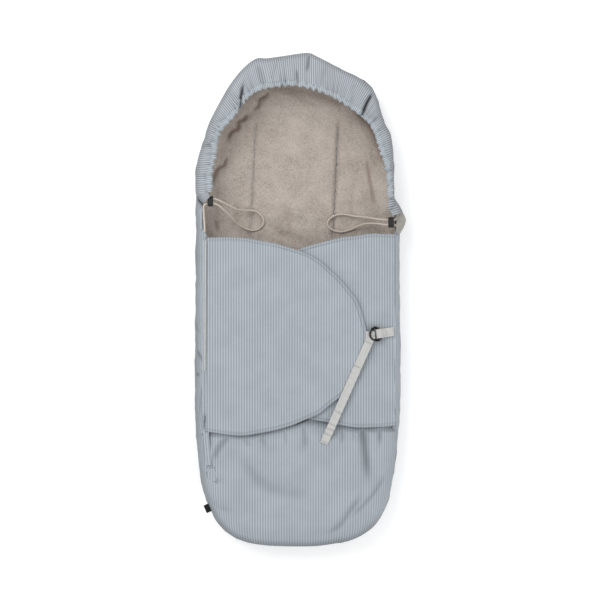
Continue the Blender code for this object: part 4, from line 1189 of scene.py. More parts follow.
    def lining(self) -> Object:
        """The pile bed and walls: the skin, lifted by tufts and sunk by creases and round the slots.

        Returns:
            The finished object.
        """
        bed, sides, floors = self.lining_rows[0], self.side_depths, self.floor_depths
        (top, _), (under, _) = (
            self.skin(sides[k] + gap, floors[k] + gap, self.lining_rows, self.lining_stop)
            for k, gap in ((2, 0.0), (1, self.layer_gap))
        )
        flat = top[..., :2]
        x, y = flat[..., 0], flat[..., 1]
        level = np.clip(1 - (top[..., 2] - 0.018) / 0.02, 0, 1)
        low, high = self.slit_ends
        slits = sum(bell(x - self.slit_line(middle, y), self.slit_dip_width) for middle in self.slits)
        slits = slits * fade(y, low - 0.012, low + 0.002) * fade(y, high + 0.012, high - 0.002)
        lift = sum(bumps.at(top) for bumps in self.tufts)
        lift = lift - sunk(flat, self.bed_folds) - slits * self.slit_dip * level
        steps = norm(np.diff(top, axis=0), axis=-1)[::-1].cumsum(axis=0)[::-1]
        lift[:-1] *= np.clip(steps / self.rim_free, 0, 1)
        lift[-1] = 0
        lift[:bed] = np.maximum(lift[:bed], -self.deepest)
        up = normals(top)
        up[:bed] = UP
        top = top + up * lift[..., None]
        share = np.linspace(0, 1, 5)[1:-1, None, None]
        rows = np.concatenate([top, top[-1] * (1 - share) + under[-1] * share, under[::-1]])
        # painted shade over the bed's middle: none by the left wall and the hood, half of it by the right
        # wall, so that the walls read lighter
        painted_shade = fade(x, -0.165, -0.085) * (0.5 + 0.5 * fade(x, 0.17, 0.11))
        painted_shade = self.bed_dark * painted_shade * fade(y, 0.415, 0.325)
        # painted shade in the slots
        by_slits = slits * level * (self.slit_dark[0] + self.slit_dark[1] * (x > 0))
        dark = np.clip(painted_shade + shaded(flat, self.bed_folds) + by_slits, 0, self.darkest)
        dark = np.concatenate([dark, np.zeros((len(rows) - len(dark), dark.shape[1]))])
        piece = loft("pile_bed", rows, PILE, shade=dark)
        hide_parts("back_lining")
        return piece

    def slit_line(self, x: float, y: Array) -> Array:
        """Where a slot's middle is at this y: it leans a little from its own x."""
        return x + self.slant * (y - sum(self.slit_ends) / 2)

    def slot(self, obj: Object, halves: Pair, uneven: float) -> None:
        """Cuts both harness slots through a closed piece, by upright walls on a long ring with round ends.

        Args:
            obj: The piece.
            halves: Half of the width of each slot.
            uneven: How much the two lips wander, as ruffled pile does.
        """
        low, high = self.slit_ends
        for x, half in zip(self.slits, halves):
            y = np.linspace(low, high, 48)
            lips = np.column_stack([ripple(y[:, None], 0.009, 61), ripple(y[:, None], 0.013, 62)]) * uneven
            taper = half * rounded(np.minimum(y - low, high - y), 4 * half) + TINY
            middle = self.slit_line(x, y) + lips[:, 0] * 1.6
            right, left = middle + taper + np.maximum(lips[:, 1], -taper * 0.6), middle - taper
            ring = np.concatenate([np.column_stack([right, y]), np.column_stack([left, y])[::-1][1:-1]])
            count = len(ring)
            rows = np.array([np.column_stack([ring, np.full(count, z)]) for z in (-0.01, 0.03)])
            mesh = bpy.data.meshes.new("slot_cutter")
            faces = [(k, (k + 1) % count, (k + 1) % count + count, k + count) for k in range(count)]
            ends = [tuple(range(count - 1, -1, -1)), tuple(range(count, 2 * count))]
            mesh.from_pydata(rows.reshape(-1, 3).tolist(), [], faces + ends)
            cutter = bpy.data.objects.new("slot_cutter", mesh)
            bpy.context.scene.collection.objects.link(cutter)
            cut = obj.modifiers.new("slot", "BOOLEAN")
            cut.operation, cut.object, cut.solver = "DIFFERENCE", cutter, "EXACT"
            bpy.context.view_layer.objects.active = obj
            bpy.ops.object.modifier_apply(modifier=cut.name)
            bpy.data.objects.remove(cutter)

    def facing(self, x: float, name: str) -> None:
        """A woven sleeve round a slot, by an oval whose width falls with height, and the same oval inside it.

        Args:
            x: The slot's own place.
            name: Its side, left or right.
        """
        low, high = self.slit_ends
        turn = np.linspace(0, TURN, 49)
        outside = np.array(self.sleeve)
        inside = outside[::-1] - (0.0, self.sleeve_thickness)
        z, half = np.concatenate([outside, inside, outside[:1]]).T[..., None]
        straight = np.sign(np.round(np.sin(turn), 6)) * ((high - low) / 2 - 0.001)
        y = (low + high) / 2 + straight + half * np.sin(turn)
        grid = np.dstack([x + half * np.cos(turn) + self.slit_line(0.0, y), y, np.broadcast_to(z, y.shape)])
        piece = loft(f"slot_facing_{name}", grid, BLUE_FACING, cloth=grid[..., 1:])
        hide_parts(f"slit_facing_{name}")


@dataclass
class Hood:
    """The gathered hood: striped and pleated outside, a ruffled cord channel round the face, pile inside."""

    foot_z: float = 0.0457
    rim_ends: float = 0.084
    rim_crown: float = 0.092
    flare: float = 2.6  # table points over which the turned-out corner fades
    flare_lift: float = 0.0205
    flare_drop: float = 0.0035
    rows: int = 64
    thickness: float = 3.2 * MM
    edge_round: float = 0.003
    rim_gap: float = 0.0015
    inset_power: float = 0.92
    height_power: float = 0.9
    channel_width: float = 0.0118
    channel_height: float = 0.0072
    channel_from: float = 1.8  # table points from the right corner to the channel's seam
    seam_dip: float = 3.4 * MM
    gather_wave: float = 0.0102
    gather_height: float = 1.7 * MM
    gather_reach: float = 0.019
    # painted shade in the gathers' valleys
    gather_dark: float = 0.2
    puffs: Bumps = Bumps(0.05, 1.3, 31)
    # painted shade towards the hood's foot, over foot_dark_width
    foot_dark: float = 0.34
    foot_dark_width: float = 0.015
    lining_rows: int = 48
    lining_depth: float = 0.0036
    lining_gap: float = 0.0012
    lining_tufts: Bumps = Bumps(0.012, 0.4, 12)
    lining_thickness: float = 2.2 * MM
    per_point: int = 16
    right_foot: Flat = ((402.6, 212.5), (399.2, 205.5), (395.6, 199.8))
    right_rim: Flat = ((391.4, 216.5), (386.8, 209.0), (386.4, 201.5))
    left_foot: Flat = ((198.5, 199.0), (202.4, 205.6))
    left_rim: Flat = ((212.0, 191.0), (213.4, 194.3))
    corner_inner: Solid = (
        (397.2, 212.5, 0.0700), (397.0, 219, 0.0668), (395.6, 226, 0.0640), (396.2, 233.5, 0.0705),
    )
    corner_outer: Solid = (
        (402.4, 212.5, 0.0660), (405.6, 219.6, 0.0600), (403.6, 227.5, 0.0590), (399.4, 234.2, 0.0660),
    )
    corner_thickness: float = 1.6 * MM
    folds: tuple[Fold, ...] = (
        Fold(((245, 78), (242.6, 92), (240.4, 110)), 3.6, 8.0, 0.85, (0.45, 0.0)),
        Fold(((255, 60), (261, 75), (264.5, 89)), 6.5, 5.5, 0.16, (0.4, 0.0)),
        Fold(((296.5, 66), (297.6, 86)), 3.2, 3.4, 0.5, (0.5, 0.0)),
        Fold(((309.5, 53), (308, 66), (306.4, 78)), 3.6, 4.4, 0.42, (0.2, 0.4)),
        Fold(((374.0, 91), (367, 103), (361.5, 117)), 4.2, 9.0, 0.9, (0.3, 0.0)),
        Fold(((358, 80), (353, 92), (350.5, 108)), 5.0, 3.0, 0.08),
        Fold(((199, 150), (208, 146), (219, 148)), 5.4, 6.0, 0.34, (0.1, 0.2)),
        Fold(((209, 128), (219, 122), (230, 122)), 6.0, 3.0, 0.12, (0.3, 0.2)),
        Fold(((392, 141), (385, 131), (377, 126)), 5.0, 4.5, 0.2, (0.2, 0.3)),
        Fold(((386, 120), (380, 118), (371, 121)), 5.0, 3.0, 0.14, (0.3, 0.2)),
        Fold(((226, 92), (236, 98), (246, 102)), 7.0, 3.0, 0.1, (0.3, 0.2)),
        Fold(((278, 58), (275, 70), (272, 82)), 6.0, 2.4, 0.1, (0.3, 0.1)),
        Fold(((328, 63), (323, 78), (320, 92)), 6.0, 2.5, 0.1, (0.3, 0.2)),
        Fold(((197, 176), (205, 178), (212, 178)), 5.0, 3.0, 0.14, (0.2, 0.2)),
        Fold(((394, 172), (388, 170), (386, 168)), 5.0, 3.0, 0.12, (0.2, 0.2)),
        Fold(((396, 203), (392, 208), (388, 211)), 4.0, 2.5, 0.3, (0.2, 0.2)),
    )

    def __post_init__(self) -> None:
        """The line where the hood stands on the wall, and the rim of the face opening, point for point."""
        foot = np.vstack([plan(*self.right_foot), np.array(HOOD_FOOT) * HALVES, plan(*self.left_foot)])
        rim = np.vstack([plan(*self.right_rim), np.array(HOOD_RIM) * HALVES, plan(*self.left_rim)])
        self.foot, self.rim = spline(foot, self.per_point), spline(rim, self.per_point)
        self.place = np.linspace(0, len(foot) - 1, len(self.foot))
        across = self.rim - self.foot
        self.width = norm(across, axis=1)
        self.across = across / self.width[:, None]
        crown = np.sin(np.pi * (self.place / (len(foot) - 1)).clip(0, 1))
        flare = fade(self.place, self.flare, 0.0)
        self.low_z = self.foot_z + flare * self.flare_lift
        self.rim_z = self.rim_ends + (self.rim_crown - self.rim_ends) * crown - flare * self.flare_drop
        self.around = travelled(self.rim)
        self.outside = travelled(self.foot)
        self.pleats = self.folds[:5]  # the ones that reach the channel

    def gathers(self, along: Array) -> Array:
        """Ruffles of cloth on a drawn cord: a sine whose length wanders, and uneven waves of 7 and 19 mm.

        Args:
            along: Distances along the rim.

        Returns:
            About -1 to 1 for each of them.
        """
        place = along[:, None]
        fine = np.sin(TURN * along / self.gather_wave + 2.6 * ripple(place, 0.07, 21))
        uneven = 0.45 * ripple(place, 0.0068, 22) + 0.45 * ripple(place, 0.019, 23)
        return (0.5 * fine + uneven) * (0.85 + 0.35 * ripple(place, 0.09, 24)).clip(0.3, 1.4)

    def skin(self, depth: float, count: int, reach: float) -> Array:
        """Rows from the foot over to the channel's seam.

        The inset is the width times (1 - cos a) and the height the rise times sin a, both eased by a power so
        that the cloth stands fuller than a round arch. Pleats, gathers and puffs grow from the foot up.

        Args:
            depth: Depth below the outside.
            count: How many rows.
            reach: How far short of the rim the last row stops beside the channel.

        Returns:
            The rows' points.
        """
        share = np.linspace(0, 1, count)[:, None]
        bare = fade(self.place, self.channel_from, self.flare)
        gap = self.rim_gap + (reach - self.rim_gap) * bare
        angle = share * np.arccos((gap / (self.width - depth)).clip(0, 0.95))
        inset = (self.width - depth) * (1 - np.cos(angle) ** self.inset_power) + depth
        z = self.low_z + (self.rim_z - self.low_z - depth) * np.sin(angle) ** self.height_power
        flat = self.foot[None] + self.across[None] * inset[..., None]
        z = z - sunk(flat, self.folds) * smooth(share * 2.2)
        z = z + self.gathers(self.around)[None] * self.near(inset) * self.gather_height * smooth(share * 2)
        z = z + self.puffs.at(flat) * smooth(share * 3)
        seam = fade(self.width - inset, self.channel_width - 0.002, self.channel_width - 0.007)
        return np.dstack([flat, z - seam * bare * self.seam_dip])

    def near(self, inset: Array) -> Array:
        """How much of the rim's gathers reaches each point, falling off behind the channel."""
        return np.exp(-((self.width - inset) - self.channel_width).clip(0) / self.gather_reach)

    def build(self) -> None:
        """Outside, lining, channel and the turned-out corner by the right lock."""
        outer = self.skin(0.0, self.rows, 0.0060)
        up = self.width[None] * np.linspace(0, 1, self.rows)[:, None]
        cloth = np.stack(np.broadcast_arrays(self.outside[None], up), axis=-1)
        flat = outer[..., :2]
        inset = norm(flat - self.foot[None], axis=-1)
        # painted shade: the gathers' valleys, the folds' creases and a band along the foot
        valleys = self.near(inset) * np.clip(-self.gathers(self.around), 0, 1.2) * self.gather_dark
        dark = np.maximum(shaded(flat, self.folds), valleys)
        dark = np.maximum(dark, self.foot_dark * fade(inset, self.foot_dark_width, 0.0))
        thickness = rounded_off(outer, self.thickness, self.edge_round)
        shell = pad("hood_outside", outer, thickness, HOOD_STRIPED, cloth=cloth, shade=dark)
        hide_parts("hood_shell")
        kept = slice(2 * self.per_point + 6, len(self.foot) - self.per_point // 2)
        inner = self.skin(self.lining_depth, self.lining_rows, 0.0065)[:, kept]
        inner = inner - np.array((0, 0, self.lining_gap))
        inner = inner + normals(inner) * self.lining_tufts.at(inner)[..., None]
        lining = pad("hood_pile", inner, rounded_off(inner, self.lining_thickness, self.edge_round), PILE)
        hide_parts("hood_lining")
        self.channel()
        self.corner()

    def channel(self) -> None:
        """The ruffled tube on the rim: an oval whose size and sideways place swing with the gathers."""
        kept = slice(int(2.55 * self.per_point), len(self.rim) - int(0.9 * self.per_point))
        along = self.around[kept]
        steps = max(2, round((along[-1] - along[0]) / (0.9 * MM)))
        fine = np.linspace(along[0], along[-1], steps)
        rim, across = (
            np.stack([np.interp(fine, along, table[kept, k]) for k in (0, 1)], axis=1)
            for table in (self.rim, self.across)
        )
        across = across / norm(across, axis=1)[:, None]
        swing = self.gathers(fine)
        drop = sunk(rim - across * 0.006, self.pleats) * 0.45
        scallop = 1.7 * MM * ripple(fine[:, None], 0.012, 25).clip(-1.4, 1.4)
        centre = rim - across * (self.channel_width / 2 - 0.0010 + scallop)[:, None]
        turn = np.linspace(0, TURN, 25)
        ends = rounded(np.minimum(fine - fine[0], fine[-1] - fine), 0.008) * 0.62 + 0.38
        wide = (self.channel_width / 2 + 0.7 * MM * swing) * ends
        tall = (self.channel_height / 2 + 0.9 * MM * swing) * ends
        flat = centre[:, None] + across[:, None] * (wide[:, None] * np.cos(turn))[..., None]
        middle = np.interp(fine, along, self.rim_z[kept]) - self.channel_height / 2 - drop
        grooves = 0.24 * MM * np.sin(TURN * fine / 0.0031)[:, None] * np.clip(np.sin(turn), 0, 1)
        rows = np.dstack([flat, middle[:, None] + tall[:, None] * np.sin(turn) - grooves])
        cloth = np.stack(np.broadcast_arrays(fine[:, None] * 1.25, 0.004 * turn[None]), axis=-1)
        # painted shade in the gathers' valleys and along one side of the tube
        valleys = np.clip(-swing, 0, 1.2)[:, None] * 0.22 + bell(turn - 0.8 * math.pi, 0.3) * 0.1
        dark = np.maximum(valleys, shaded(flat, self.pleats))
        piece = tube("cord_channel", rows, CHANNEL_STRIPED, cloth=cloth, shade=dark)
        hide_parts("hood_channel", "drawcord")

    def corner(self) -> None:
        """The lining's greige edge that fans out below the flared corner, by a sheet bowed over its width."""
        inner, outer = (spline(raised(line), 10) for line in (self.corner_inner, self.corner_outer))
        share = np.linspace(0, 1, 18)[:, None, None]
        sheet = inner[None] * (1 - share) + outer[None] * share + np.sin(np.pi * share) * (0, 0, 0.0028)
        phase = share[..., 0] * 2.6 + np.linspace(0, 1.2, sheet.shape[1])[None]
        sheet[..., 2] += np.sin(TURN * phase) * 0.7 * MM
        thickness = rounded_off(sheet, self.corner_thickness, 0.0012)
        piece = pad("hood_corner_facing", sheet, thickness, FACING, cloth=sheet[..., :2])


@dataclass
class Pouch:
    """The foot pouch over the feet, with its lining and the facing in its mouth."""

    outline: Outline
    columns: int = 260
    rows: int = 100
    thickness: float = 5.0 * MM
    edge_round: float = 0.005
    rise: float = 0.0457
    end_tuck: float = 3.4 * MM  # how much deeper the rows lie under the wall's ends
    end_tuck_width: float = 0.016
    gather_wave: float = 0.027
    gather_height: float = 1.6 * MM
    gather_reach: float = 0.030
    puffs: tuple[Bumps, ...] = (Bumps(0.09, 1.5, 42), Bumps(0.035, 0.5, 43))
    sag: float = 1.0 * MM
    dip: Pair = (7.0 * MM, 9.0 * MM)  # under the flaps, and more under the right one
    dip_reach: Pair = (0.030, 0.018)
    # painted shadow under the flaps' bottom edge
    under_dark: float = 0.3
    # painted shade towards the outline over rim_dark_width, less on the lit side and more round the foot's
    # tip
    rim_dark: float = 0.32
    rim_lit: float = 0.22  # how much less of it the lit side has
    tip_dark: float = 0.14
    rim_dark_width: float = 0.017
    lining_rows: int = 60
    lining_depth: float = 0.0060
    lining_tufts: Bumps = Bumps(0.012, 0.35, 44)
    lining_thickness: float = 2.4 * MM
    lining_round: float = 0.003
    folds: tuple[Fold, ...] = (
        Fold(((361.5, 424), (364, 446), (366.5, 468), (368.5, 496)), 9.5, 6.5, 0.44, (0.1, 0.5)),
        Fold(((379.5, 424), (379, 440), (377, 454)), 5.0, 2.4, 0.34, (0.1, 0.6)),
        Fold(((231, 434), (221, 445), (212, 463)), 7.0, 4.0, 0.3, (0.15, 0.3)),
        Fold(((225, 432), (214, 446), (206, 465)), 4.5, -1.8, fades=(0.2, 0.3)),
        Fold(((206, 432), (205, 452), (207, 470)), 7.0, 2.4, 0.2, (0.2, 0.3)),
        Fold(
            ((236, 446), (246, 463), (262, 482), (286, 492), (310, 491), (322, 484)),
            14.0, 4.8, 0.14, (0.25, 0.3),
        ),
        Fold(((318, 536), (338, 525), (352, 506), (368, 486)), 7.0, 3.6, 0.24),
        Fold(((344, 520), (364, 503), (379, 484), (389, 466)), 6.0, 3.0, 0.2),
        Fold(((346, 533), (366, 520), (384, 502)), 7.0, -2.0),
        Fold(((243, 430), (248, 442), (252, 452)), 5.0, 2.0, 0.14, (0.1, 0.5)),
        Fold(((262, 430), (264, 442), (269, 454)), 6.0, 2.6, 0.18, (0.1, 0.5)),
        Fold(((284, 428), (286, 440), (285, 450)), 5.0, 2.0, 0.14, (0.1, 0.5)),
        Fold(((303, 424), (305, 440), (303, 456)), 6.0, 2.8, 0.2, (0.1, 0.5)),
        Fold(((341, 424), (342, 436), (340, 450)), 5.0, 2.6, 0.2, (0.1, 0.5)),
        Fold(((352, 424), (353, 434), (352, 444)), 4.0, 1.8, 0.14, (0.1, 0.5)),
        Fold(((203, 470), (214, 478), (230, 482)), 6.0, 2.2, 0.14, (0.2, 0.4)),
        Fold(((206, 497), (222, 507), (240, 510)), 8.0, 2.0, 0.1, (0.2, 0.4)),
    )
    band_top: float = 0.0818
    band_foot: float = 0.0630
    band_drop: float = 9.0 * MM  # how much lower its lip lies under the right flap
    band_width: float = 0.050
    band_thickness: float = 1.2 * MM
    tucked: float = 0.006  # how far the mouth runs on under the left flap
    tucked_right: float = 0.009  # how much farther under the right flap, which lies lower

    def __post_init__(self) -> None:
        """Stations round the foot, from one seam's foot to the other's, and the mouth's points for them."""
        start = self.outline.distance_at(-1, LEFT_SEAM_FOOT + 0.012)
        end = self.outline.length + self.outline.distance_at(1, RIGHT_SEAM_FOOT + 0.012)
        self.along = np.linspace(start, end, self.columns)
        self.points, self.inward = self.outline.at(self.along % self.outline.length)
        self.rim = self.outline.at(np.linspace(start - 0.02, end + 0.02, 300) % self.outline.length)[0]
        mouth = spline(np.array(MOUTH)[::-1] * HALVES, 12)
        self.mouth = resampled(mouth, self.columns)
        self.mouth[:, 1] += self.tucked + self.tucked_right * self.lower(self.mouth[:, 0])

    def lower(self, x: Array) -> Array:
        """From 0 to 1: whether the right flap alone covers the mouth at this x."""
        return smooth((x - 0.010) / 0.030)

    def skin(self, depth: float, count: int) -> tuple[Array, Array]:
        """Rows from the wall's rim to the mouth, with their (u, v).

        Each row line runs straight in plan, closer at the rim. The height is a round of the side radius: at a
        distance i from the outline, the root of (R - depth) squared less (R - i) squared. Under the wall's
        ends, where the flaps begin, the rows lie a little deeper.

        Args:
            depth: Depth below the outside.
            count: How many rows.

        Returns:
            Points, and (u, v): x and y, drawn out by the way that the cloth goes down at the rim.
        """
        radius = SIDE_RADIUS - depth
        from_end = np.minimum(self.along - self.along[0], self.along[-1] - self.along)
        tuck = self.end_tuck * fade(from_end, self.end_tuck_width, 0.0)
        start = self.points + self.inward * (depth + tuck)[:, None]
        share = np.linspace(0, 1, count)[:, None, None] ** 2
        flat = start[None] * (1 - share) + self.mouth[None] * share
        inset = distance_to(flat, self.rim)[0]
        inset[0] = depth + tuck
        inside = (SIDE_RADIUS - inset).clip(0)
        z = self.rise + np.sqrt((radius**2 - inside**2).clip(0)) - tuck * 0.8
        angle = np.arccos((inside / radius).clip(0, 1))
        over = radius * (math.pi / 2 - angle) - inside
        return np.dstack([flat, z]), flat - self.inward[None] * over[..., None]

    def shaped(self, rows: Array) -> Array:
        """The rows with folds, puffs, gathers below the mouth, and the dip under the flaps.

        Gathers are a sine of x that wanders and dies away from the mouth. The dip is a smooth step of the
        distance to the mouth, deeper and wider under the right flap.

        Args:
            rows: Points of a skin.

        Returns:
            New points.
        """
        flat = rows[..., :2]
        away, _ = distance_to(flat, self.mouth)
        level = smooth((rows[..., 2] - self.rise) / 0.03)
        lower = self.lower(flat[..., 0])
        reach = self.dip_reach[0] + self.dip_reach[1] * lower
        dip = smooth(1 - away / reach) * (self.dip[0] + self.dip[1] * lower)
        gather = np.sin(TURN * flat[..., 0] / self.gather_wave + 1.2 * ripple(flat, 0.2, 41))
        gather = gather * np.exp(-away / self.gather_reach) * self.gather_height
        sag = smooth(away / 0.05) * smooth((flat[..., 1] + HALF_LENGTH) / 0.1) * self.sag
        free = smooth((away - 0.002 - 0.008 * lower) / 0.014)
        raises = (gather + sum(bumps.at(flat) for bumps in self.puffs)) * free
        rows = rows.copy()
        rows[..., 2] += (raises - sag - dip - sunk(flat, self.folds) * free) * level
        return rows

    def build(self) -> None:
        """Outside, lining and the facing band."""
        outer, cloth = self.skin(0.0, self.rows)
        outer = self.shaped(outer)
        flat = outer[..., :2]
        under = distance_to(flat, self.mouth)[0] - self.tucked - self.tucked_right * self.lower(flat[..., 0])
        # painted shade towards the outline, less on the lit side and more round the foot's tip
        edge = self.rim_dark - self.rim_lit * lit_side(flat)
        edge = edge + self.tip_dark * fade(flat[..., 1], -0.40, -0.46)
        edge = edge * fade(distance_to(flat, self.rim)[0], self.rim_dark_width, 0.0)
        # painted shadow under the flaps' edge, with the folds' crease shade
        dark = np.maximum(shaded(flat, self.folds), fade(under, 0.006, 0.0) * self.under_dark)
        dark = np.maximum(dark, edge)
        thickness = rounded_off(outer, self.thickness, self.edge_round)
        shell = pad("pouch_outside", outer, thickness, STRIPED, cloth=cloth, shade=dark)
        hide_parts("pouch_shell", "pouch_padding")
        inner = self.shaped(self.skin(self.lining_depth, self.lining_rows)[0])
        inner[..., 2] -= 0.0004 + smooth((inner[..., 2] - 0.06) / 0.02) * 0.0002
        inner = inner + normals(inner) * (self.lining_tufts.at(inner) - 0.0002)[..., None]
        lining = pad("pouch_pile", inner, rounded_off(inner, self.lining_thickness, self.lining_round), PILE)
        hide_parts("pouch_lining")
        self.band()

    def band(self) -> None:
        """The facing in the mouth: an upright edge below its lip, then a ledge under the flaps."""
        line = resampled(self.mouth, 120)
        lip = self.band_top - self.band_drop * self.lower(line[:, 0])
        down = np.linspace(0, 1, 20)[:, None] * self.band_width
        upright = lip - self.band_foot
        y = line[:, 1][None] + np.maximum(down - upright, 0) + 0.0004
        sheet = np.dstack([np.broadcast_to(line[:, 0][None], y.shape), y, lip - np.minimum(down, upright)])
        sheet[..., 2] += ripple(sheet[..., :2], 0.05, 51) * 0.5 * MM
        thickness = rounded_off(sheet, self.band_thickness)
        piece = pad("mouth_facing", sheet, thickness, FACING, cloth=sheet[..., :2])
        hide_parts("pouch_mouth_band")


@dataclass
class Flap:
    """One front flap: a thin pad with a doubled hem round its free edges, striped above and pile below."""

    side: str
    table: Solid
    seam_top: float
    crest: float
    rise: float
    seed: int
    spans: int = 12
    rows: int = 130
    thickness: float = 0.0052
    edge_round: float = 0.0034
    edge_roll: float = 2.6 * MM
    fullness: float = 0.9 * MM
    hem: float = 0.0058
    hem_width: float = 0.0010
    hem_dip: float = 0.75 * MM
    hem_dark: float = 0.3
    outer_stitches: float = 0.0022
    outer_width: float = 0.0009
    outer_dark: float = 0.16
    pile_gap: float = 0.0001
    pile_thickness: float = 2.3 * MM
    pile_inset: float = 0.0035
    lap: float = 0.0009  # over the wall at the seam
    step: float = 0.0  # how much farther it laps below the level where the wall is folded in
    step_y: float = -0.139

    def grid(self, count: int) -> tuple[Array, Array, Array]:
        """The flap's grid at its top's height.

        x runs through the table's columns and y from the top edge to the bottom edge, closer near the edges.
        Near the seam x is drawn out over the wall. z rises smoothly from the seam to the crest.

        Args:
            count: Points from the top edge to the bottom edge.

        Returns:
            Points, their distance to the edge in plan, and the same to the free edges only.
        """
        table = spline(np.array(self.table), self.spans) * (HALF_WIDTH, HALF_LENGTH, HALF_LENGTH)
        t = np.linspace(0, 1, count)
        share = (0.55 * t + 0.45 * (0.5 - 0.5 * np.cos(np.pi * t)))[:, None]
        y = table[:, 1][None] * (1 - share) + table[:, 2][None] * share
        x = np.broadcast_to(table[:, 0][None], y.shape)
        inward = np.abs(x - x[0, 0])
        z = self.seam_top + (self.crest - self.seam_top) * smooth(inward / self.rise)
        lapped = self.lap + self.step * smooth((self.step_y - y) / 0.006)
        x = x + math.copysign(1, x[0, 0]) * lapped * fade(inward, 0.03, 0.0)
        flat = np.dstack([x, y])
        free = np.vstack([flat[0, ::2], flat[::6, -1], flat[-1, ::-2]])
        edge = np.vstack([free, flat[::-4, 0]])
        return np.dstack([x, y, z]), distance_to(flat, edge)[0], distance_to(flat, free)[0]

    def build(self) -> None:
        """The striped pad and the pile below it."""
        body = f"{self.side}_flap"
        broad = Bumps(0.085, 0.9, self.seed + 1)
        top, edge, free = self.grid(self.rows)
        flat = top[..., :2]
        hem = bell(free - self.hem, self.hem_width)
        pucker = Bumps(0.012, 0.22, self.seed).at(flat) * np.exp(-np.abs(free - self.hem) / 0.006)
        soft = broad.at(flat) + Bumps(0.03, 0.25, self.seed + 2).at(flat)
        inside = smooth((edge - 0.004) / 0.02)
        shaped = top.copy()
        shaped[..., 2] += (soft + self.fullness) * inside + pucker - hem * self.hem_dip
        shaped[..., 2] -= (1 - rounded(edge, self.edge_round)) * self.edge_roll
        thickness = closed_edges(self.thickness * rounded(edge, self.edge_round))
        shade = hem * self.hem_dark + bell(free - self.outer_stitches, self.outer_width) * self.outer_dark
        up = np.broadcast_to(np.array(UP), top.shape)
        piece = pad(f"{self.side}_front_flap", shaped, thickness, STRIPED, body, up, cloth=flat, shade=shade)
        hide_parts(f"{body}_shell", f"{body}_padding")
        low, edge, _ = self.grid(self.rows // 2)
        low[..., 2] += broad.at(low[..., :2]) * smooth((edge - 0.004) / 0.02) - self.thickness - self.pile_gap
        tufts = Bumps(0.012, 0.3, self.seed + 3).at(low)
        thickness = closed_edges((self.pile_thickness + tufts) * rounded(edge - self.pile_inset, 0.004))
        up = np.broadcast_to(np.array(UP), low.shape)
        pile = pad(f"{self.side}_flap_pile", low, thickness, PILE, body, up)
        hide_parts(f"{body}_lining")


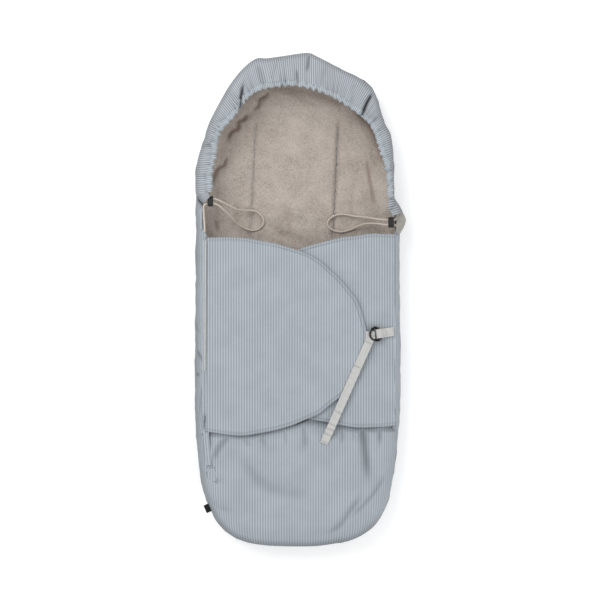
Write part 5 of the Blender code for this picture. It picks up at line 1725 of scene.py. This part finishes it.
@dataclass
class Closure:
    """The webbing strap on the left flap, through two D-rings held by a tab on the right flap."""

    strap_width: float = 0.0155
    tab_width: float = 0.0172
    webbing: float = 0.0014
    stitch_width: float = 0.006  # as a share of the webbing's length
    stitch_dip: float = 0.25 * MM
    stitch_dark: float = 0.3
    wire: float = 0.0018
    ring_half: float = 0.0128
    ring_places: Solid = ((0.15198, TAB_Y, 0.0875), (0.15498, TAB_Y, 0.0906))
    ring_reaches: Pair = (0.0152, 0.0203)
    ring_skew: float = math.radians(15.0)  # the strap pulls the bows towards the foot
    upper_tilt: float = math.radians(10.5)  # the strap passes between the rings and lifts the upper one's bow
    tail_ends: Flat = ((371.0, 335.4), (323.6, 442.4))
    tail_marks: tuple[float, ...] = (0.065, 0.29, 0.708, 0.824, 0.869, 0.916, 0.985)
    tail_height: float = 0.0938
    tail_head_drop: float = 2.6 * MM
    tail_foot_drop: float = 0.9 * MM
    tab_marks: tuple[float, ...] = (0.80, 0.985)
    loop: Flat = (
        (0.1265, 0.0858), (0.1330, 0.0855), (0.1390, 0.0853), (0.1432, 0.0856), (0.1458, 0.0870),
        (0.1456, 0.0887), (0.1432, 0.0894), (0.1395, 0.0896), (0.1355, 0.0905), (0.1320, 0.0922),
        (0.1290, 0.0929),
    )
    loop_y: float = TAB_Y - 0.0036
    tab_line: Flat = (
        (0.1822, 0.0779), (0.1760, 0.0787), (0.1700, 0.0795), (0.1630, 0.0812), (0.1575, 0.0842),
        (0.1540, 0.0851), (0.1512, 0.0854), (0.1497, 0.0875), (0.1498, 0.0908), (0.1515, 0.0929),
        (0.1545, 0.0932), (0.1580, 0.0922), (0.1625, 0.0870), (0.1670, 0.0829), (0.1735, 0.0809),
        (0.1830, 0.0796),
    )
    tab_slope: float = 0.14  # how much the tab rises towards the head for each metre to the right

    def build(self) -> None:
        """Strap, tab and rings."""
        self.strap()
        self.tab()
        tilts = (0.0, self.upper_tilt)
        for which, place, far, tilt in zip(("lower", "upper"), self.ring_places, self.ring_reaches, tilts):
            self.ring(f"d_ring_{which}", f"ring_{which}", place, far, tilt)

    def stitched(
        self, name: str, path: Array, across: Array, width: float, body: str, marks: tuple[float, ...] = ()
    ) -> Object:
        """Webbing along a path, pressed in and darkened by a bar of stitches at each mark.

        Args:
            name: The piece's name.
            path: Points of its middle line.
            across: The level direction of its width.
            width: Its width.
            body: The CAD body that it moves with.
            marks: Shares of its length.

        Returns:
            The finished object.
        """
        rows = ribbon(path, across, width, self.webbing)
        share = travelled(path) / travelled(path)[-1]
        bars = sum((bell(share - mark, self.stitch_width) for mark in marks), np.zeros(len(share)))
        rows[..., 2] -= (bars * self.stitch_dip)[:, None]
        shade = np.broadcast_to((bars * self.stitch_dark)[:, None], rows.shape[:2])
        piece = tube(name, rows, WEBBING, body, shade=shade)
        return piece

    def strap(self) -> None:
        """The strap: sewn at the flap's edge, round the lower ring's bow, then a flat tail over the flap."""
        loop = spline(np.array(self.loop), 8)
        path = np.column_stack([loop[:, 0], np.full(len(loop), self.loop_y), loop[:, 1]])
        self.stitched("strap_loop", path, np.array([0.0, 1.0, 0.0]), self.strap_width, "left_flap")
        tail = resampled(plan(*self.tail_ends), 150)
        share = np.linspace(0, 1, len(tail))
        height = self.tail_height + 0.35 * MM * np.sin(share * 17) * share
        height -= fade(share, 0.86, 0.92) * self.tail_foot_drop + fade(share, 0.09, 0.0) * self.tail_head_drop
        along = tail[-1] - tail[0]
        across = np.array([-along[1], along[0], 0.0])
        path = np.column_stack([tail, height])
        piece = self.stitched("strap_tail", path, across, self.strap_width, "left_flap", self.tail_marks)
        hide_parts("closure_strap")

    def tab(self) -> None:
        """The tab: webbing sewn down, led under both bars, round them and back, and sewn again on top."""
        line = spline(np.array(self.tab_line), 6)
        y = TAB_Y - 0.0012 + (line[:, 0] - 0.150) * self.tab_slope
        path = np.column_stack([line[:, 0], y, line[:, 1]])
        across = np.array([-self.tab_slope, 1.0, 0.0])
        piece = self.stitched("ring_tab_webbing", path, across, self.tab_width, "right_flap", self.tab_marks)
        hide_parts("ring_tab")

    def ring(self, name: str, body: str, place: Triple, far: float, tilt: float) -> None:
        """A D of round wire: a straight bar, and half an ellipse as a bow to its left, tilted about the bar.

        Args:
            name: The CAD ring that it stands for.
            body: The body that it rides on.
            place: The middle of the bar.
            far: From the bar's line to the outside of the bow.
            tilt: How far the bow's end is lifted.
        """
        half, reach = self.ring_half, far - self.wire
        bar = np.linspace(-half * 0.86, half * 0.86, 16)
        turn = np.linspace(0, math.pi, 48)
        bow = np.column_stack([-reach * np.sin(turn) ** 0.8, half * np.cos(turn)])
        flat = np.vstack([np.column_stack([np.zeros(16), bar]), bow[2:-2]])
        flat = spline(resampled(np.vstack([flat, flat[:1]]), 48)[:-1], 3, closed=True)
        x, y, z = flat[:, 0] * math.cos(tilt), flat[:, 1], -flat[:, 0] * math.sin(tilt)
        cos, sin = math.cos(self.ring_skew), math.sin(self.ring_skew)
        turned = np.column_stack([x * cos - y * sin, x * sin + y * cos, z])
        rows = swept(turned + place, circle(self.wire, 14), closed=True)
        piece = loft(f"{name}_wire", rows, GUNMETAL, body)
        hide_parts(name)


@dataclass
class SideZip:
    """The zip along the left seam, the patch at its foot and the blank side label."""

    outline: Outline
    head: float = 0.115
    foot: float = -0.319
    tape: Pair = (0.0150, 0.0262)  # insets of its two edges
    tape_lift: float = 0.0011
    tape_thickness: float = 0.0007
    pale_foot: float = -0.136  # below this the coil is dyed like the cloth
    pale_inset: float = 0.0206
    lower_inset: float = 0.0186
    tooth: float = 0.0024
    tooth_dip: float = 0.0006
    tooth_step: float = 0.0003  # one column of the grid
    coil_thickness: float = 0.0004
    patch_ends: Pair = (-0.357, -0.321)
    patch_insets: Pair = (0.0150, 0.0310)
    patch_bars: tuple[int, ...] = (3, 34, 37)
    patch_thickness: float = 1.6 * MM
    label_y: float = -0.3985
    label_z: float = 0.0565
    label_reach: float = 0.0072
    label_root: float = 0.004
    label_gap: float = 0.0008
    label_size: Pair = (0.0160, 0.0007)

    def on_wall(
        self, low: float, high: float, insets: Array, lift: Array | float, count: int
    ) -> tuple[Array, Array]:
        """Rows that lie on the left wall: one for each inset from the edge, between two places along Y.

        The height at inset i is R + the root of (R squared less (R - i) squared), plus the lift.

        Args:
            low: The place nearer the foot.
            high: The place nearer the head.
            insets: Distances from the edge.
            lift: Heights above the wall.
            count: Points in each row.

        Returns:
            Points, and (u, v): the inset and the distance along the edge.
        """
        along = np.linspace(self.outline.distance_at(-1, high), self.outline.distance_at(-1, low), count)
        points, inward = self.outline.at(along)
        flat = points[None] + inward[None] * insets[:, None, None]
        z = SIDE_RADIUS + np.sqrt(SIDE_RADIUS**2 - (SIDE_RADIUS - insets) ** 2) + lift
        rows = np.dstack([flat, np.broadcast_to(z[:, None], flat.shape[:2])])
        return rows, np.stack(np.broadcast_arrays(insets[:, None], along[None]), axis=-1)

    def build(self) -> None:
        """Tape, coil, patch and label; the slider and its pull keep their CAD forms."""
        rows, cloth = self.on_wall(self.foot, self.head, np.linspace(*self.tape, 12), self.tape_lift, 300)
        piece = pad("zip_tape_cloth", rows, rounded_off(rows, self.tape_thickness), STRIPED, cloth=cloth)
        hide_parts("zip_tape")
        pale, lower = (self.pale_foot, self.head - 0.003), (self.foot + 0.004, self.pale_foot)
        self.coil("zip_coil_pale", pale, self.pale_inset, 1.5 * MM, 2.2 * MM, WEBBING)
        piece = self.coil("zip_coil_lower", lower, self.lower_inset, 1.0 * MM, 0.9 * MM, BLUE_FACING)
        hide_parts("zip_coil")
        self.patch()
        self.label()

    def coil(
        self, name: str, span: Pair, inset: float, half: float, lift: float, finish: Finish
    ) -> Object:
        """A stretch of the coil: a half round whose top dips once for each tooth, by a sine along the seam.

        Args:
            name: The piece's name.
            span: Its two ends along Y.
            inset: Its middle's distance from the edge.
            half: Half of its width, and its height.
            lift: How far its foot lies above the wall.
            finish: What it is made of.

        Returns:
            The finished object.
        """
        low, high = span
        turn = np.linspace(0, math.pi, 9)
        insets, lifts = inset - half * np.cos(turn), lift + half * np.sin(turn)
        rows, cloth = self.on_wall(low, high, insets, lifts, round((high - low) / self.tooth_step))
        wave = 0.5 + 0.5 * np.sin(TURN * cloth[..., 1] / self.tooth)
        rows[..., 2] -= wave * np.sin(turn)[:, None] * self.tooth_dip
        piece = pad(name, rows, rounded_off(rows, self.coil_thickness), finish, cloth=cloth)
        return piece

    def patch(self) -> None:
        """A small striped patch with a bar of stitches at each end, each a bell across the columns."""
        columns = np.arange(40)
        rows, _ = self.on_wall(*self.patch_ends, np.linspace(*self.patch_insets, 14), 0.0, len(columns))
        bars = sum(bell(columns - k, 0.9) for k in self.patch_bars)
        rows[..., 2] -= bars[None] * 0.4 * MM
        shade = np.broadcast_to(bars[None] * 0.5, rows.shape[:2])
        thickness = rounded_off(rows, self.patch_thickness, 0.0050)
        piece = pad("zip_foot_patch", rows, thickness, STRIPED, cloth=rows[..., :2], shade=shade)
        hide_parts("zip_end_patch")

    def label(self) -> None:
        """A blank folded ribbon that stands out from the side: a flat loop, round at its outer end."""
        place = np.array([self.outline.distance_at(-1, self.label_y)])
        point, inward = (found[0] for found in self.outline.at(place))
        turn = np.linspace(-math.pi / 2, math.pi / 2, 13)
        out, gap = np.linspace(self.label_root, -self.label_reach, 12), self.label_gap
        line = np.concatenate([
            np.column_stack([out, np.full(12, -gap)]),
            np.column_stack([-self.label_reach - gap * np.cos(turn), gap * np.sin(turn)]),
            np.column_stack([out[::-1], np.full(12, gap)]),
        ])
        line = resampled(line, 60)
        path = np.column_stack([point + inward * line[:, :1], self.label_z + line[:, 1] - line[:, 0] * 0.2])
        side = np.array([-inward[1], inward[0], 0.0])
        piece = tube("blank_side_label", ribbon(path, side, *self.label_size), LABEL_CLOTH)
        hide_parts("side_label")


@dataclass
class Fittings:
    """The small hard parts whose CAD forms are kept, with their own finishes."""

    finishes: tuple[tuple[str, Finish], ...] = (
        ("lock_left_body", BLACK_PLASTIC), ("lock_left_button", BLACK_PLASTIC),
        ("lock_right_body", BLACK_PLASTIC), ("lock_right_button", BLACK_PLASTIC),
        ("lock_left_spring", GUNMETAL), ("lock_right_spring", GUNMETAL),
        ("zip_slider", PAINTED_METAL), ("zip_pull", PAINTED_METAL),
    )

    def build(self) -> None:
        """Gives each kept CAD node its finish."""
        for name, finish in self.finishes:
            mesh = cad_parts[name].data
            if not mesh.materials:
                mesh.materials.append(None)
            for index in range(len(mesh.materials)):
                mesh.materials[index] = finish.material()
            LOG.info("%s: finished as %s", name, finish.name)


def main() -> None:
    """Builds the studio and every sub-assembly."""
    logging.basicConfig(level=logging.INFO, format="%(message)s")
    Studio().build()
    HoodCords().build()
    outline = Outline()
    Quilt(outline).build()
    Hood().build()
    Pouch(outline).build()
    Flap(
        "right", RIGHT_FLAP, seam_top=0.0756, crest=0.0836, rise=0.0536, seed=61,
        lap=0.0015, step=0.0028, step_y=-0.215,
    ).build()
    Flap("left", LEFT_FLAP, seam_top=0.0883, crest=0.092, rise=0.118, seed=71, step=0.0032).build()
    Closure().build()
    SideZip(outline).build()
    Fittings().build()


if __name__ == "__main__":
    main()
